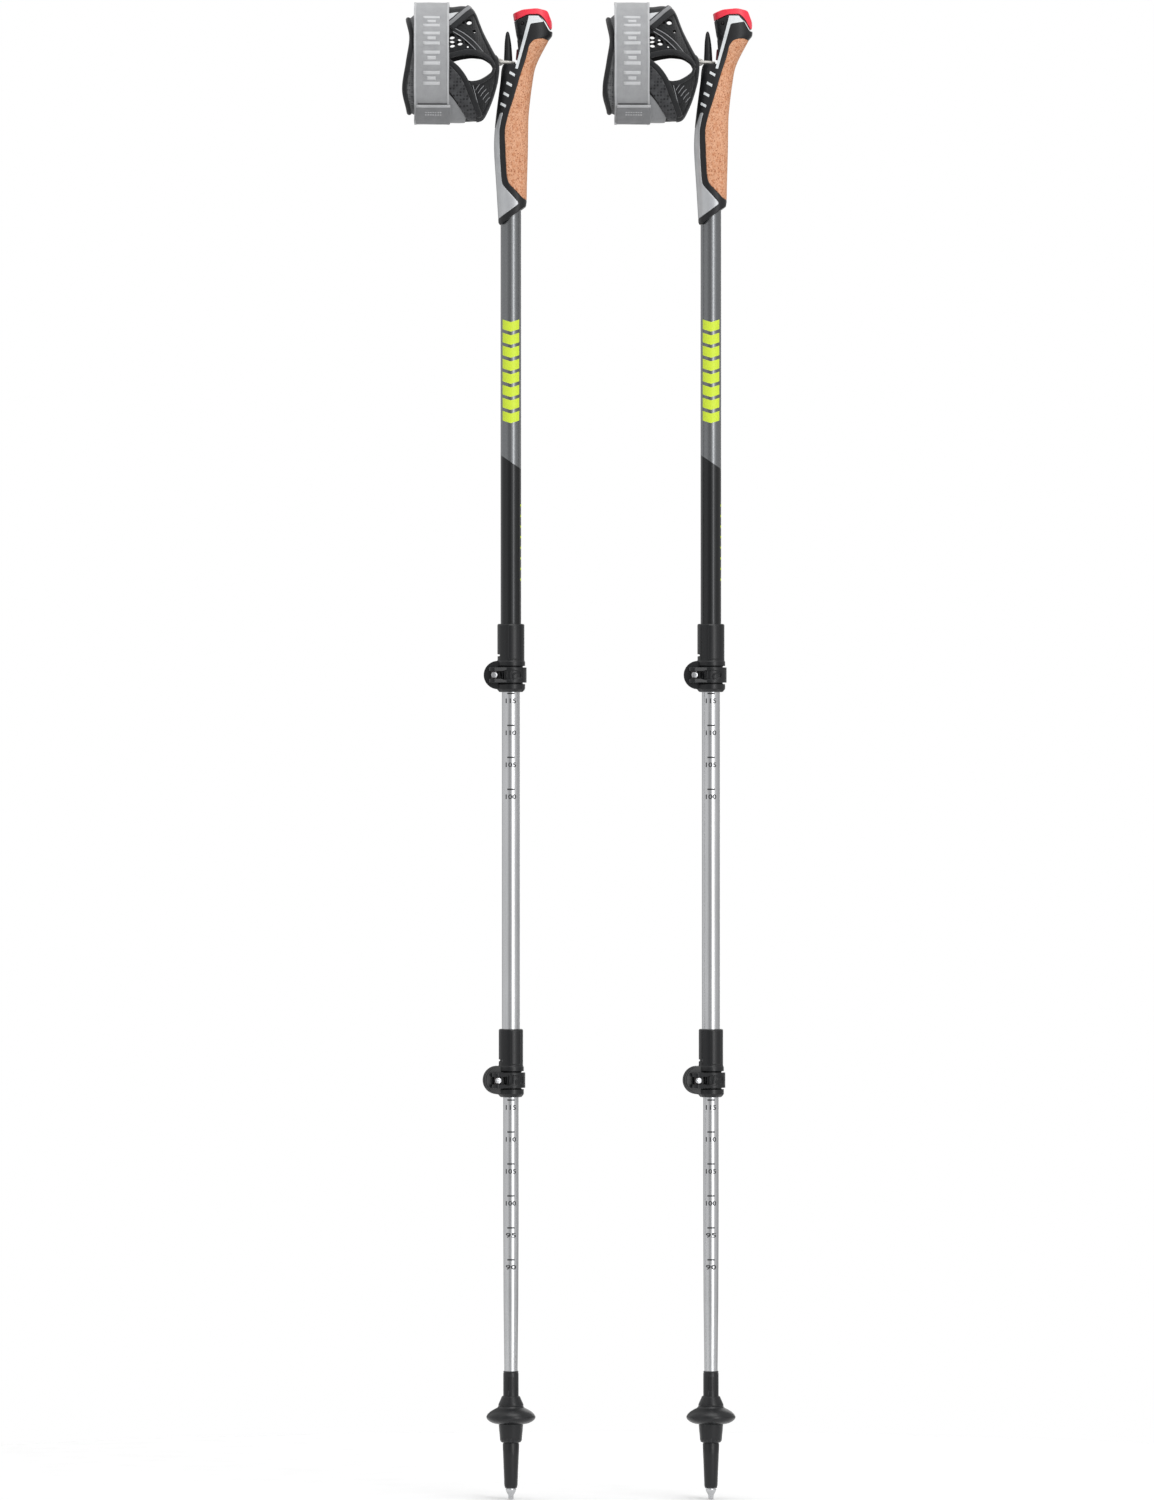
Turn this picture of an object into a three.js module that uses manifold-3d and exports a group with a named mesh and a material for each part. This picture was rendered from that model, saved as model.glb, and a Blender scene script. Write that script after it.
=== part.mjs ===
// A pair of three-section trekking poles. Each has a cork grip with a hooked strap and a red
// release button, two lever clamps on telescoping tubes, and a screw-on basket over a steel tip.
// Millimetres, +Z up. Heights are measured from the tips; the whole pair is then lowered so that
// the origin is on the left pole's axis, at the middle of its hand hold.
import * as THREE from 'three';
import { mergeVertices } from 'three/addons/utils/BufferGeometryUtils.js';
import Module from 'manifold-3d';

const wasm = await Module();
wasm.setup();

// ---------------------------------------------------------------- driving dimensions
const POLE_SPACING = 155;
const HOLD_HEIGHT = 1060;
const GAP = 0.3;
const SIDES = 12;
const GRIP_SIDES = 12;
const HOLE_SIDES = 8;
const ARC_STEPS = 4;

// Tubes: outer radii, wall, and the heights of their ends.
const UPPER_TUBE = { radius: 8, bore: 7.3, bottom: 630.5, top: 1062 };
const MIDDLE_TUBE = { radius: 7, bore: 6.3, bottom: 316.6, top: 760 };
const LOWER_TUBE = { radius: 6, bore: 5.3, bottom: 86, top: 447 };
const TAPER = { top: 230, middle: 154, middleRadius: 5.7, bottom: 101, footRadius: 5.1 };
const BUSHING = { lip: 6, stem: 15, slack: 0.15 };

// Lever clamps: the height of the lever's middle, the turn about the pole, the sleeve's radius.
const UPPER_CLAMP = { height: 638.6, turn: 0, sleeve: 10.5, outer: UPPER_TUBE.radius, inner: 7 };
const LOWER_CLAMP = { height: 324.7, turn: 12, sleeve: 9.45, outer: MIDDLE_TUBE.radius, inner: 6 };
const CLAMP = { top: 39.6, flange: 10.9, slot: 7, floor: 8.4, bottom: 13.2, leverHalf: 5.9 };
const EAR = { centre: 10.1, radius: 11, right: -7, front: [-5, -1], rear: [1, 7] };
const CAM = { x: -12.6, y: -9.6, radius: 4.3, slotRadius: 7.2, slotHalf: 2.9 };
const BARREL = { radius: 2.8, half: 5.7 };
const SCREW = { shank: 1.4, head: 2.5, headFront: -14.4, headBack: -12.8, bevel: 0.4, end: 10.2 };
const NUT = { radius: 3, front: 7.3, back: 9.8 };
const COLLAR = { chamfer: 0.6, lip: 1.8, core: 1.2, flange: 0.6 };
const SLIT = { bottom: -20, top: 15, beyondAxis: 2 };
const REAR_NOTCH = { half: 6, bottom: 14.6, top: 16, deep: 0.6 };
const LEVER = { thick: 1.1, clear: 0.4, tip: 5, back: -105, front: -140, camStart: 52, camEnd: 270 };
// Cutting tools run this far past what they cut.
const FAR = 40;

// Grip: level sections from the bottom lip to the head, as back, front and half depth.
const GRIP_SECTIONS = [
  { z: 984, back: -9.4, front: 12.0, deep: 11.4 },
  { z: 1016, back: -11.3, front: 12.4, deep: 13.0 },
  { z: 1046, back: -13.1, front: 13.2, deep: 14.2 },
  { z: 1061, back: -12.6, front: 13.4, deep: 14.0 },
  { z: 1074, back: -11.3, front: 13.9, deep: 13.6 },
  { z: 1098, back: -8.2, front: 16.8, deep: 12.8 },
  { z: 1111, back: -6.3, front: 19.6, deep: 12.5 },
  { z: 1130, back: 4.8, front: 29.2, deep: 13.4 },
  { z: 1134, back: 4.2, front: 32.0, deep: 13.6 },
  { z: 1144, back: 2.6, front: 32.0, deep: 13.4 },
  { z: 1158, back: 0.4, front: 32.0, deep: 12.4 },
];
const GRIP_ROUNDING = 2.4;
const GRIP_SKIN = 3.2;
const CORE = { bottom: 1018, top: 1106 };
const BELOW_GRIP_END = 960;
const HEAD_BOTTOM = 1130;
const GRIP_HALF = 20;

// Side-view outlines on the grip, as x and height.
const CORK_OUTLINE = [
  [40, 1129.8], [29, 1130], [24.4, 1131.5], [17.3, 1130.2], [14, 1125.8], [11.9, 1116.5], [7.5, 1103.6],
  [1.9, 1084.2], [-1.2, 1075.2], [-4.3, 1063.5], [-4.7, 1058], [-4, 1039.3], [-3.3, 1025.4],
  [-1.9, 1019.2], [3.6, 1013.6], [10.5, 1006.4], [40, 1006],
];
const PANEL_OUTLINE = [
  [-8.4, 1073.8], [-5.7, 1073.8], [-7.1, 1069.7], [-8.9, 1060], [-8.9, 1053], [-8.4, 1039.3],
  [-7.4, 1024], [-6.7, 1018.5], [-4, 1015.1], [5.7, 1004.7], [6, 1003], [3.6, 1001.3],
  [-9.5, 991.9], [-30, 991.9], [-30, 1061], [-12.4, 1061],
];
const BELOW_GRIP = [
  [-40, 970], [-40, 989.2], [-9.8, 989.2], [-8.8, 987.7], [-7.4, 987.7], [9.2, 999.9], [11.6, 1001.6],
  [12.1, 1004.5], [40, 1004.5], [40, 970],
];
const ABOVE_HEAD = [
  [-30, 1144.6], [2.9, 1144.7], [13, 1149], [21.6, 1149.2], [25.7, 1145.4], [29.8, 1138.4],
  [31, 1137.2], [50, 1137.2], [50, 1170], [-30, 1170],
];
const NOTCH_OUTLINE = [[-30, 1111.5], [4.9, 1111.5], [5.2, 1124], [4.8, 1131], [-30, 1131]];

// Strap hook: a horn with level sections like the grip's.
const HORN_SECTIONS = [
  { z: 1104, back: -5.4, front: 1.2, deep: 3.7 },
  { z: 1114, back: -5.5, front: 1.2, deep: 3.4 },
  { z: 1122, back: -5.2, front: 0.8, deep: 3 },
  { z: 1129, back: -4.9, front: 0.1, deep: 2.6 },
  { z: 1134, back: -4.3, front: -0.8, deep: 2 },
  { z: 1137.2, back: -3.3, front: -1.9, deep: 0.6 },
];

const HORN_ROUNDING = 2;

// Release button, its pivot, spring and latch.
const BUTTON_OUTLINE = [
  [0.5, 1150.4], [1.2, 1145.3], [2.9, 1145.3], [13, 1149.8], [21.9, 1150.4], [26.7, 1146.3],
  [30.8, 1138.7], [31.9, 1139.2], [32.1, 1143.4], [28.4, 1152.8], [20.2, 1154.6], [9, 1153.6],
];
const PIVOT = { x: 8.9, z: 1142.9, radius: 0.9, hole: 1.2, half: 12.6 };
const LUG = { left: 6.6, right: 11.2, half: 3, bottom: 1140, top: 1150.5 };
const LUG_POCKET = { left: 5.6, right: 12.4, half: 3.6, bottom: 1138.6, top: 1155 };
const SPRING = { x: 18, bottom: 1141.6, top: 1148.7, radius: 2.2, wire: 0.45, turns: 3, steps: 24 };
const SPRING_POCKET = { radius: 3.3, bottom: 1140.6, top: 1155 };
const LATCH_OUTLINE = [[3.8, 1115], [8, 1115], [8, 1123.4], [5, 1123.4]];
const LATCH_HALF = 3.6;
const LATCH_CHANNEL = { left: -1, right: 10.6, bottom: 1114.6, top: 1123.8, half: 4 };

// Strap: a cord ring on the horn, and a fabric cuff that narrows towards it.
const CORD_RING = { x: -3.05, z: 1112.9, radius: 5.55, cord: 1, squeeze: 0.83, sides: 6, steps: 16 };
const CUFF_SECTIONS = [
  { x: -82, bottom: 1074, top: 1147, deep: 25.8 },
  { x: -62, bottom: 1067.6, top: 1157.4, deep: 27.2 },
  { x: -46, bottom: 1067.8, top: 1156, deep: 25.6 },
  { x: -30, bottom: 1067.5, top: 1154.5, deep: 21 },
  { x: -22, bottom: 1069.5, top: 1136.5, deep: 16 },
  { x: -16, bottom: 1081.5, top: 1124.5, deep: 10.5 },
  { x: -12.6, bottom: 1092, top: 1118.5, deep: 7 },
  { x: -10.4, bottom: 1101, top: 1115.5, deep: 4.5 },
];
const CUFF_SIDES = 16;
const CUFF_WALL = 3;
const THUMB_HOLE = { x: -31.2, z: 1107.6, halfLength: 17.5, halfHeight: 10.3, steps: 6 };
const BAND = { left: -74.8, right: -47.7, z: 1112.5, inner: 45.3, outer: 47.5, depth: 27.6 };
const TAB = { left: -73.3, right: -46.9, inner: 48.2, outer: 49.4, from: 15, to: 45, step: 7.5 };

// Foot: ferrule, basket and steel tip, as radius and height from the bottom up.
const FERRULE_PROFILE = [
  [0, 25], [2.5, 25], [2.5, 8.6], [4.8, 8.6], [5.2, 11], [6.4, 42.6], [6, 43.4], [6, 80.2], [5.95, 80.6],
  [5.95, 98.6], [5.7, 99.2], [5.45, 99.2], [5.45, 85.6], [0, 85.6],
];
const BASKET_PROFILE = [
  [6.3, 43.8], [7.2, 44], [8.7, 48.8], [9.5, 58.1], [14, 59], [18.6, 61.6], [19.05, 63.5], [18.6, 65.6],
  [13, 69.4], [9.85, 72.1], [8.4, 76], [6.95, 79.8], [6.3, 79.8],
];
const TIP_PROFILE = [
  [0, 0], [1.7, 0], [2.05, 0.5], [2.05, 3], [2.5, 3.9], [4.05, 7], [4.05, 8.2], [2.2, 8.2],
  [2.2, 24.4], [0, 24.4],
];

// ---------------------------------------------------------------- materials
const COLOURS = {
  black: { color: 0x2d3032, roughness: 0.45, metalness: 0 },
  cork: { color: 0xd9a074, roughness: 0.9, metalness: 0 },
  silver: { color: 0xb9bcbe, roughness: 0.35, metalness: 0.3 },
  red: { color: 0xe8384e, roughness: 0.35, metalness: 0 },
  darkRed: { color: 0x7a1626, roughness: 0.4, metalness: 0 },
  steel: { color: 0xa8abad, roughness: 0.3, metalness: 1 },
  greyTube: { color: 0x66686a, roughness: 0.35, metalness: 0.9 },
  silverTube: { color: 0xc4c6c8, roughness: 0.3, metalness: 0.9 },
  cord: { color: 0xd8d6d0, roughness: 0.9, metalness: 0 },
  mesh: { color: 0x303234, roughness: 0.95, metalness: 0 },
  webbing: { color: 0xa6a7a8, roughness: 0.9, metalness: 0 },
  tab: { color: 0x7d7e80, roughness: 0.9, metalness: 0 },
};

// ---------------------------------------------------------------- shape helpers
const X_AXIS = new THREE.Vector3(1, 0, 0);
const Y_AXIS = new THREE.Vector3(0, 1, 0);
const Z_AXIS = new THREE.Vector3(0, 0, 1);

// Keeps only positions, joins equal corners and drops triangles that have collapsed.
function welded(geometry) {
  const bare = new THREE.BufferGeometry();
  bare.setAttribute('position', geometry.attributes.position);
  bare.setIndex(geometry.index);
  const merged = mergeVertices(bare, 1e-4);
  const corners = merged.index.array;
  const kept = [];
  for (let i = 0; i < corners.length; i += 3) {
    const [a, b, c] = [corners[i], corners[i + 1], corners[i + 2]];
    if (a !== b && b !== c && c !== a) kept.push(a, b, c);
  }
  merged.setIndex(kept);
  return merged;
}

function solid(geometry) {
  const clean = welded(geometry);
  const mesh = new wasm.Mesh({
    numProp: 3,
    vertProperties: new Float32Array(clean.attributes.position.array),
    triVerts: new Uint32Array(clean.index.array),
  });
  return new wasm.Manifold(mesh);
}

function geometryOf(manifold) {
  const mesh = manifold.getMesh();
  const geometry = new THREE.BufferGeometry();
  geometry.setAttribute('position', new THREE.BufferAttribute(mesh.vertProperties, 3));
  geometry.setIndex(new THREE.BufferAttribute(mesh.triVerts, 1));
  geometry.computeVertexNormals();
  return geometry;
}

function shapeOf(points) {
  return new THREE.Shape(points.map(([a, b]) => new THREE.Vector2(a, b)));
}

// A plan outline drawn in x and y, from one height to another.
function upright(shape, bottom, top, curveSegments = ARC_STEPS) {
  const settings = { depth: top - bottom, bevelEnabled: false, curveSegments };
  const geometry = new THREE.ExtrudeGeometry(shape, settings);
  return geometry.translate(0, 0, bottom);
}

// A side outline drawn in x and z, from y = near to y = far.
function across(shape, near, far) {
  const geometry = new THREE.ExtrudeGeometry(shape, { depth: far - near, bevelEnabled: false });
  const turn = new THREE.Matrix4().makeBasis(X_AXIS, Z_AXIS, Y_AXIS.clone().negate());
  return geometry.applyMatrix4(turn).translate(0, far, 0);
}

// An end outline drawn in y and z, from x = left to x = right.
function lengthways(shape, left, right) {
  const geometry = new THREE.ExtrudeGeometry(shape, { depth: right - left, bevelEnabled: false });
  const turn = new THREE.Matrix4().makeBasis(Y_AXIS, Z_AXIS, X_AXIS);
  return geometry.applyMatrix4(turn).translate(left, 0, 0);
}

// A profile of radius and height, turned about the pole's axis.
function turned(profile, sides = SIDES) {
  const points = profile.map(([radius, height]) => new THREE.Vector2(radius, height));
  return new THREE.LatheGeometry(points, sides).rotateX(Math.PI / 2);
}

function pipe(radius, bore, bottom, top) {
  return turned([[bore, bottom], [radius, bottom], [radius, top], [bore, top], [bore, bottom]]);
}

function rod(radius, bottom, top, sides = SIDES) {
  return turned([[0, bottom], [radius, bottom], [radius, top], [0, top]], sides);
}

// A round rod along y, standing at x and z.
function crossRod(radius, near, far, x, z, sides = HOLE_SIDES) {
  return rod(radius, -far, -near, sides).rotateX(Math.PI / 2).translate(x, 0, z);
}

function box(left, right, near, far, bottom, top) {
  const geometry = new THREE.BoxGeometry(right - left, far - near, top - bottom);
  return geometry.translate((left + right) / 2, (near + far) / 2, (bottom + top) / 2);
}

// A closed skin through a row of rounded sections. The place function puts a point of a section,
// given as two numbers from -1 to 1, into space.
function skin(sections, sides, rounding, place) {
  const rings = sections.length - 1;
  const geometry = new THREE.CylinderGeometry(1, 1, rings, sides, rings);
  const position = geometry.attributes.position;
  for (let i = 0; i < position.count; i++) {
    const section = sections[Math.round(position.getY(i) + rings / 2)];
    const u = rounded(position.getX(i), rounding);
    const v = rounded(-position.getZ(i), rounding);
    const point = place(section, u, v);
    position.setXYZ(i, point.x, point.y, point.z);
  }
  return geometry;
}

function rounded(value, rounding) {
  return Math.sign(value) * Math.abs(value) ** (2 / rounding);
}

// A skin whose sections lie level, each drawn in by an inset all round.
function levelSkin(sections, rounding, inset = 0, sides = GRIP_SIDES) {
  return skin(sections, sides, rounding, (section, u, v) => {
    const middle = (section.back + section.front) / 2;
    const half = (section.front - section.back) / 2 - inset;
    return new THREE.Vector3(middle + u * half, v * (section.deep - inset), section.z);
  });
}

// A skin whose sections stand across the strap, each drawn in by an inset all round.
function cuffSkin(sections, inset = 0) {
  return skin(sections, CUFF_SIDES, 2, (section, u, v) => {
    const middle = (section.bottom + section.top) / 2;
    const half = (section.top - section.bottom) / 2 - inset;
    return new THREE.Vector3(section.x, -v * (section.deep - inset), middle + u * half);
  });
}

// Moves every edge of an outline inwards by the gap.
function drawnIn(points) {
  const corners = points.map(([x, z]) => new THREE.Vector2(x, z));
  const inward = THREE.ShapeUtils.isClockWise(corners) ? -1 : 1;
  const inwardOf = (from, to) => {
    const along = to.clone().sub(from).normalize();
    return new THREE.Vector2(-along.y, along.x).multiplyScalar(inward);
  };
  return corners.map((corner, i) => {
    const before = inwardOf(corners.at(i - 1), corner);
    const after = inwardOf(corner, corners[(i + 1) % corners.length]);
    const move = before.clone().add(after).multiplyScalar(GAP / (1 + before.dot(after)));
    return [corner.x + move.x, corner.y + move.y];
  });
}

function sectionAt(sections, z) {
  const above = sections.findIndex((section) => section.z >= z);
  const low = sections[above - 1];
  const high = sections[above];
  const share = (z - low.z) / (high.z - low.z);
  return {
    z,
    back: THREE.MathUtils.lerp(low.back, high.back, share),
    front: THREE.MathUtils.lerp(low.front, high.front, share),
    deep: THREE.MathUtils.lerp(low.deep, high.deep, share),
  };
}

// ---------------------------------------------------------------- the pieces of one pole
function addPiece(group, name, geometry, look) {
  const mesh = new THREE.Mesh(geometry, new THREE.MeshStandardMaterial(COLOURS[look]));
  mesh.name = name;
  group.add(mesh);
  return mesh;
}

function gripCore(from, to, inset) {
  const inner = GRIP_SECTIONS.filter((section) => section.z > from && section.z < to);
  const sections = [sectionAt(GRIP_SECTIONS, from), ...inner, sectionAt(GRIP_SECTIONS, to)];
  return levelSkin(sections, GRIP_ROUNDING, inset);
}

// Core, cork, rear panel and black shell all share the grip's outer skin.
function addGrip(group, side) {
  const outer = solid(levelSkin(GRIP_SECTIONS, GRIP_ROUNDING));
  const tubeRoom = solid(rod(UPPER_TUBE.radius + GAP, BELOW_GRIP_END, UPPER_TUBE.top + GAP, SIDES));
  const core = solid(gripCore(CORE.bottom, CORE.top, GRIP_SKIN)).subtract(tubeRoom);
  const coreRoom = solid(gripCore(CORE.bottom - GAP, CORE.top + GAP, GRIP_SKIN - GAP));
  addPiece(group, `${side}_grip_core`, geometryOf(core), 'black');

  const corkRoom = solid(across(shapeOf(CORK_OUTLINE), -GRIP_HALF, GRIP_HALF));
  const corkPiece = solid(across(shapeOf(drawnIn(CORK_OUTLINE)), -GRIP_HALF, GRIP_HALF));
  const cork = outer.intersect(corkPiece).subtract(coreRoom).subtract(tubeRoom);
  addPiece(group, `${side}_cork_grip`, geometryOf(cork), 'cork');

  const panelRoom = solid(across(shapeOf(PANEL_OUTLINE), -GRIP_HALF, GRIP_HALF));
  const panelPiece = solid(across(shapeOf(drawnIn(PANEL_OUTLINE)), -GRIP_HALF, GRIP_HALF));
  const panel = outer.intersect(panelPiece).subtract(coreRoom).subtract(tubeRoom);
  addPiece(group, `${side}_rear_panel`, geometryOf(panel), 'silver');

  const lugRoom = box(LUG_POCKET.left, LUG_POCKET.right, -LUG_POCKET.half, LUG_POCKET.half,
    LUG_POCKET.bottom, LUG_POCKET.top);
  const springRoom = rod(SPRING_POCKET.radius, SPRING_POCKET.bottom, SPRING_POCKET.top);
  const channel = box(LATCH_CHANNEL.left, LATCH_CHANNEL.right, -LATCH_CHANNEL.half,
    LATCH_CHANNEL.half, LATCH_CHANNEL.bottom, LATCH_CHANNEL.top);
  const shell = outer
    .subtract(solid(across(shapeOf(BELOW_GRIP), -GRIP_HALF, GRIP_HALF)))
    .subtract(solid(across(shapeOf(ABOVE_HEAD), -GRIP_HALF, GRIP_HALF)))
    .subtract(solid(across(shapeOf(NOTCH_OUTLINE), -GRIP_HALF, GRIP_HALF)))
    .subtract(corkRoom)
    .subtract(panelRoom)
    .subtract(solid(channel))
    .add(solid(levelSkin(HORN_SECTIONS, HORN_ROUNDING, 0, HOLE_SIDES)))
    .subtract(coreRoom)
    .subtract(tubeRoom)
    .subtract(solid(lugRoom))
    .subtract(solid(springRoom.translate(SPRING.x, 0, 0)))
    .subtract(solid(crossRod(PIVOT.hole, -GRIP_HALF, GRIP_HALF, PIVOT.x, PIVOT.z)));
  addPiece(group, `${side}_grip_shell`, geometryOf(shell), 'black');
}

class Helix extends THREE.Curve {
  getPoint(share) {
    const angle = share * SPRING.turns * 2 * Math.PI;
    const height = THREE.MathUtils.lerp(SPRING.bottom, SPRING.top, share);
    return new THREE.Vector3(SPRING.radius * Math.cos(angle), SPRING.radius * Math.sin(angle), height);
  }
}

// The button rocks on a cross pin; the latch it draws back closes the mouth of the strap hook.
function addRelease(group, side) {
  const headSections = GRIP_SECTIONS.filter((section) => section.z >= HEAD_BOTTOM);
  const headPlan = solid(levelSkin(headSections, GRIP_ROUNDING));
  const lug = box(LUG.left, LUG.right, -LUG.half, LUG.half, LUG.bottom, LUG.top);
  const button = solid(across(shapeOf(BUTTON_OUTLINE), -GRIP_HALF, GRIP_HALF))
    .intersect(headPlan)
    .add(solid(lug))
    .subtract(solid(crossRod(PIVOT.hole, -GRIP_HALF, GRIP_HALF, PIVOT.x, PIVOT.z)));
  addPiece(group, `${side}_release_button`, geometryOf(button), 'red');

  const pin = crossRod(PIVOT.radius, -PIVOT.half, PIVOT.half, PIVOT.x, PIVOT.z);
  addPiece(group, `${side}_release_pivot_pin`, welded(pin), 'steel');

  const wire = new THREE.Shape().absarc(0, 0, SPRING.wire, 0, 2 * Math.PI);
  const coil = new THREE.ExtrudeGeometry(wire, {
    steps: SPRING.steps,
    curveSegments: 3,
    bevelEnabled: false,
    extrudePath: new Helix(),
  });
  addPiece(group, `${side}_release_spring`, welded(coil), 'steel').position.x = SPRING.x;

  const latch = across(shapeOf(LATCH_OUTLINE), -LATCH_HALF, LATCH_HALF);
  addPiece(group, `${side}_strap_latch`, welded(latch), 'darkRed');
}

function ovalPoint(angle, halfDepth, halfHeight) {
  const radians = THREE.MathUtils.degToRad(angle);
  return [halfDepth * Math.sin(radians), BAND.z + halfHeight * Math.cos(radians)];
}

function oval(halfDepth, halfHeight) {
  const step = 360 / CUFF_SIDES;
  return Array.from({ length: CUFF_SIDES }, (_, i) => ovalPoint(i * step, halfDepth, halfHeight));
}

function thumbHole() {
  const { x, z, halfLength, halfHeight } = THUMB_HOLE;
  const outline = new THREE.Shape();
  outline.moveTo(x - halfLength, z);
  outline.quadraticCurveTo(x, z - 2 * halfHeight, x + halfLength, z);
  outline.quadraticCurveTo(x, z + 2 * halfHeight, x - halfLength, z);
  return shapeOf(outline.getPoints(THUMB_HOLE.steps).slice(0, -1).map((point) => [point.x, point.y]));
}

function addStrap(group, side) {
  const ring = new THREE.TorusGeometry(CORD_RING.radius, CORD_RING.cord, CORD_RING.sides, CORD_RING.steps);
  ring.scale(1, CORD_RING.squeeze, 1).translate(CORD_RING.x, 0, CORD_RING.z);
  addPiece(group, `${side}_strap_cord_ring`, welded(ring), 'cord');

  const first = CUFF_SECTIONS[0];
  const hollowSections = [{ ...first, x: first.x - CUFF_WALL }, ...CUFF_SECTIONS.slice(0, -1)];
  const cuff = solid(cuffSkin(CUFF_SECTIONS))
    .subtract(solid(cuffSkin(hollowSections, CUFF_WALL)))
    .subtract(solid(across(thumbHole(), -FAR, FAR)));
  addPiece(group, `${side}_strap_cuff`, geometryOf(cuff), 'mesh');

  const bandOutside = shapeOf(oval(BAND.depth + BAND.outer - BAND.inner, BAND.outer));
  const bandInside = shapeOf(oval(BAND.depth, BAND.inner));
  const band = solid(lengthways(bandOutside, BAND.left, BAND.right))
    .subtract(solid(lengthways(bandInside, BAND.left - 1, BAND.right + 1)));
  addPiece(group, `${side}_wrist_band`, geometryOf(band), 'webbing');

  // The tab is the band's loose end: a short curved strip on the near side, low down.
  const depthOver = BAND.depth - BAND.inner;
  const strip = [];
  for (let angle = TAB.from; angle <= TAB.to; angle += TAB.step) {
    strip.push(ovalPoint(180 + angle, TAB.outer + depthOver, TAB.outer));
  }
  for (let angle = TAB.to; angle >= TAB.from; angle -= TAB.step) {
    strip.push(ovalPoint(180 + angle, TAB.inner + depthOver, TAB.inner));
  }
  addPiece(group, `${side}_wrist_tab`, welded(lengthways(shapeOf(strip), TAB.left, TAB.right)), 'tab');
}

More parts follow.
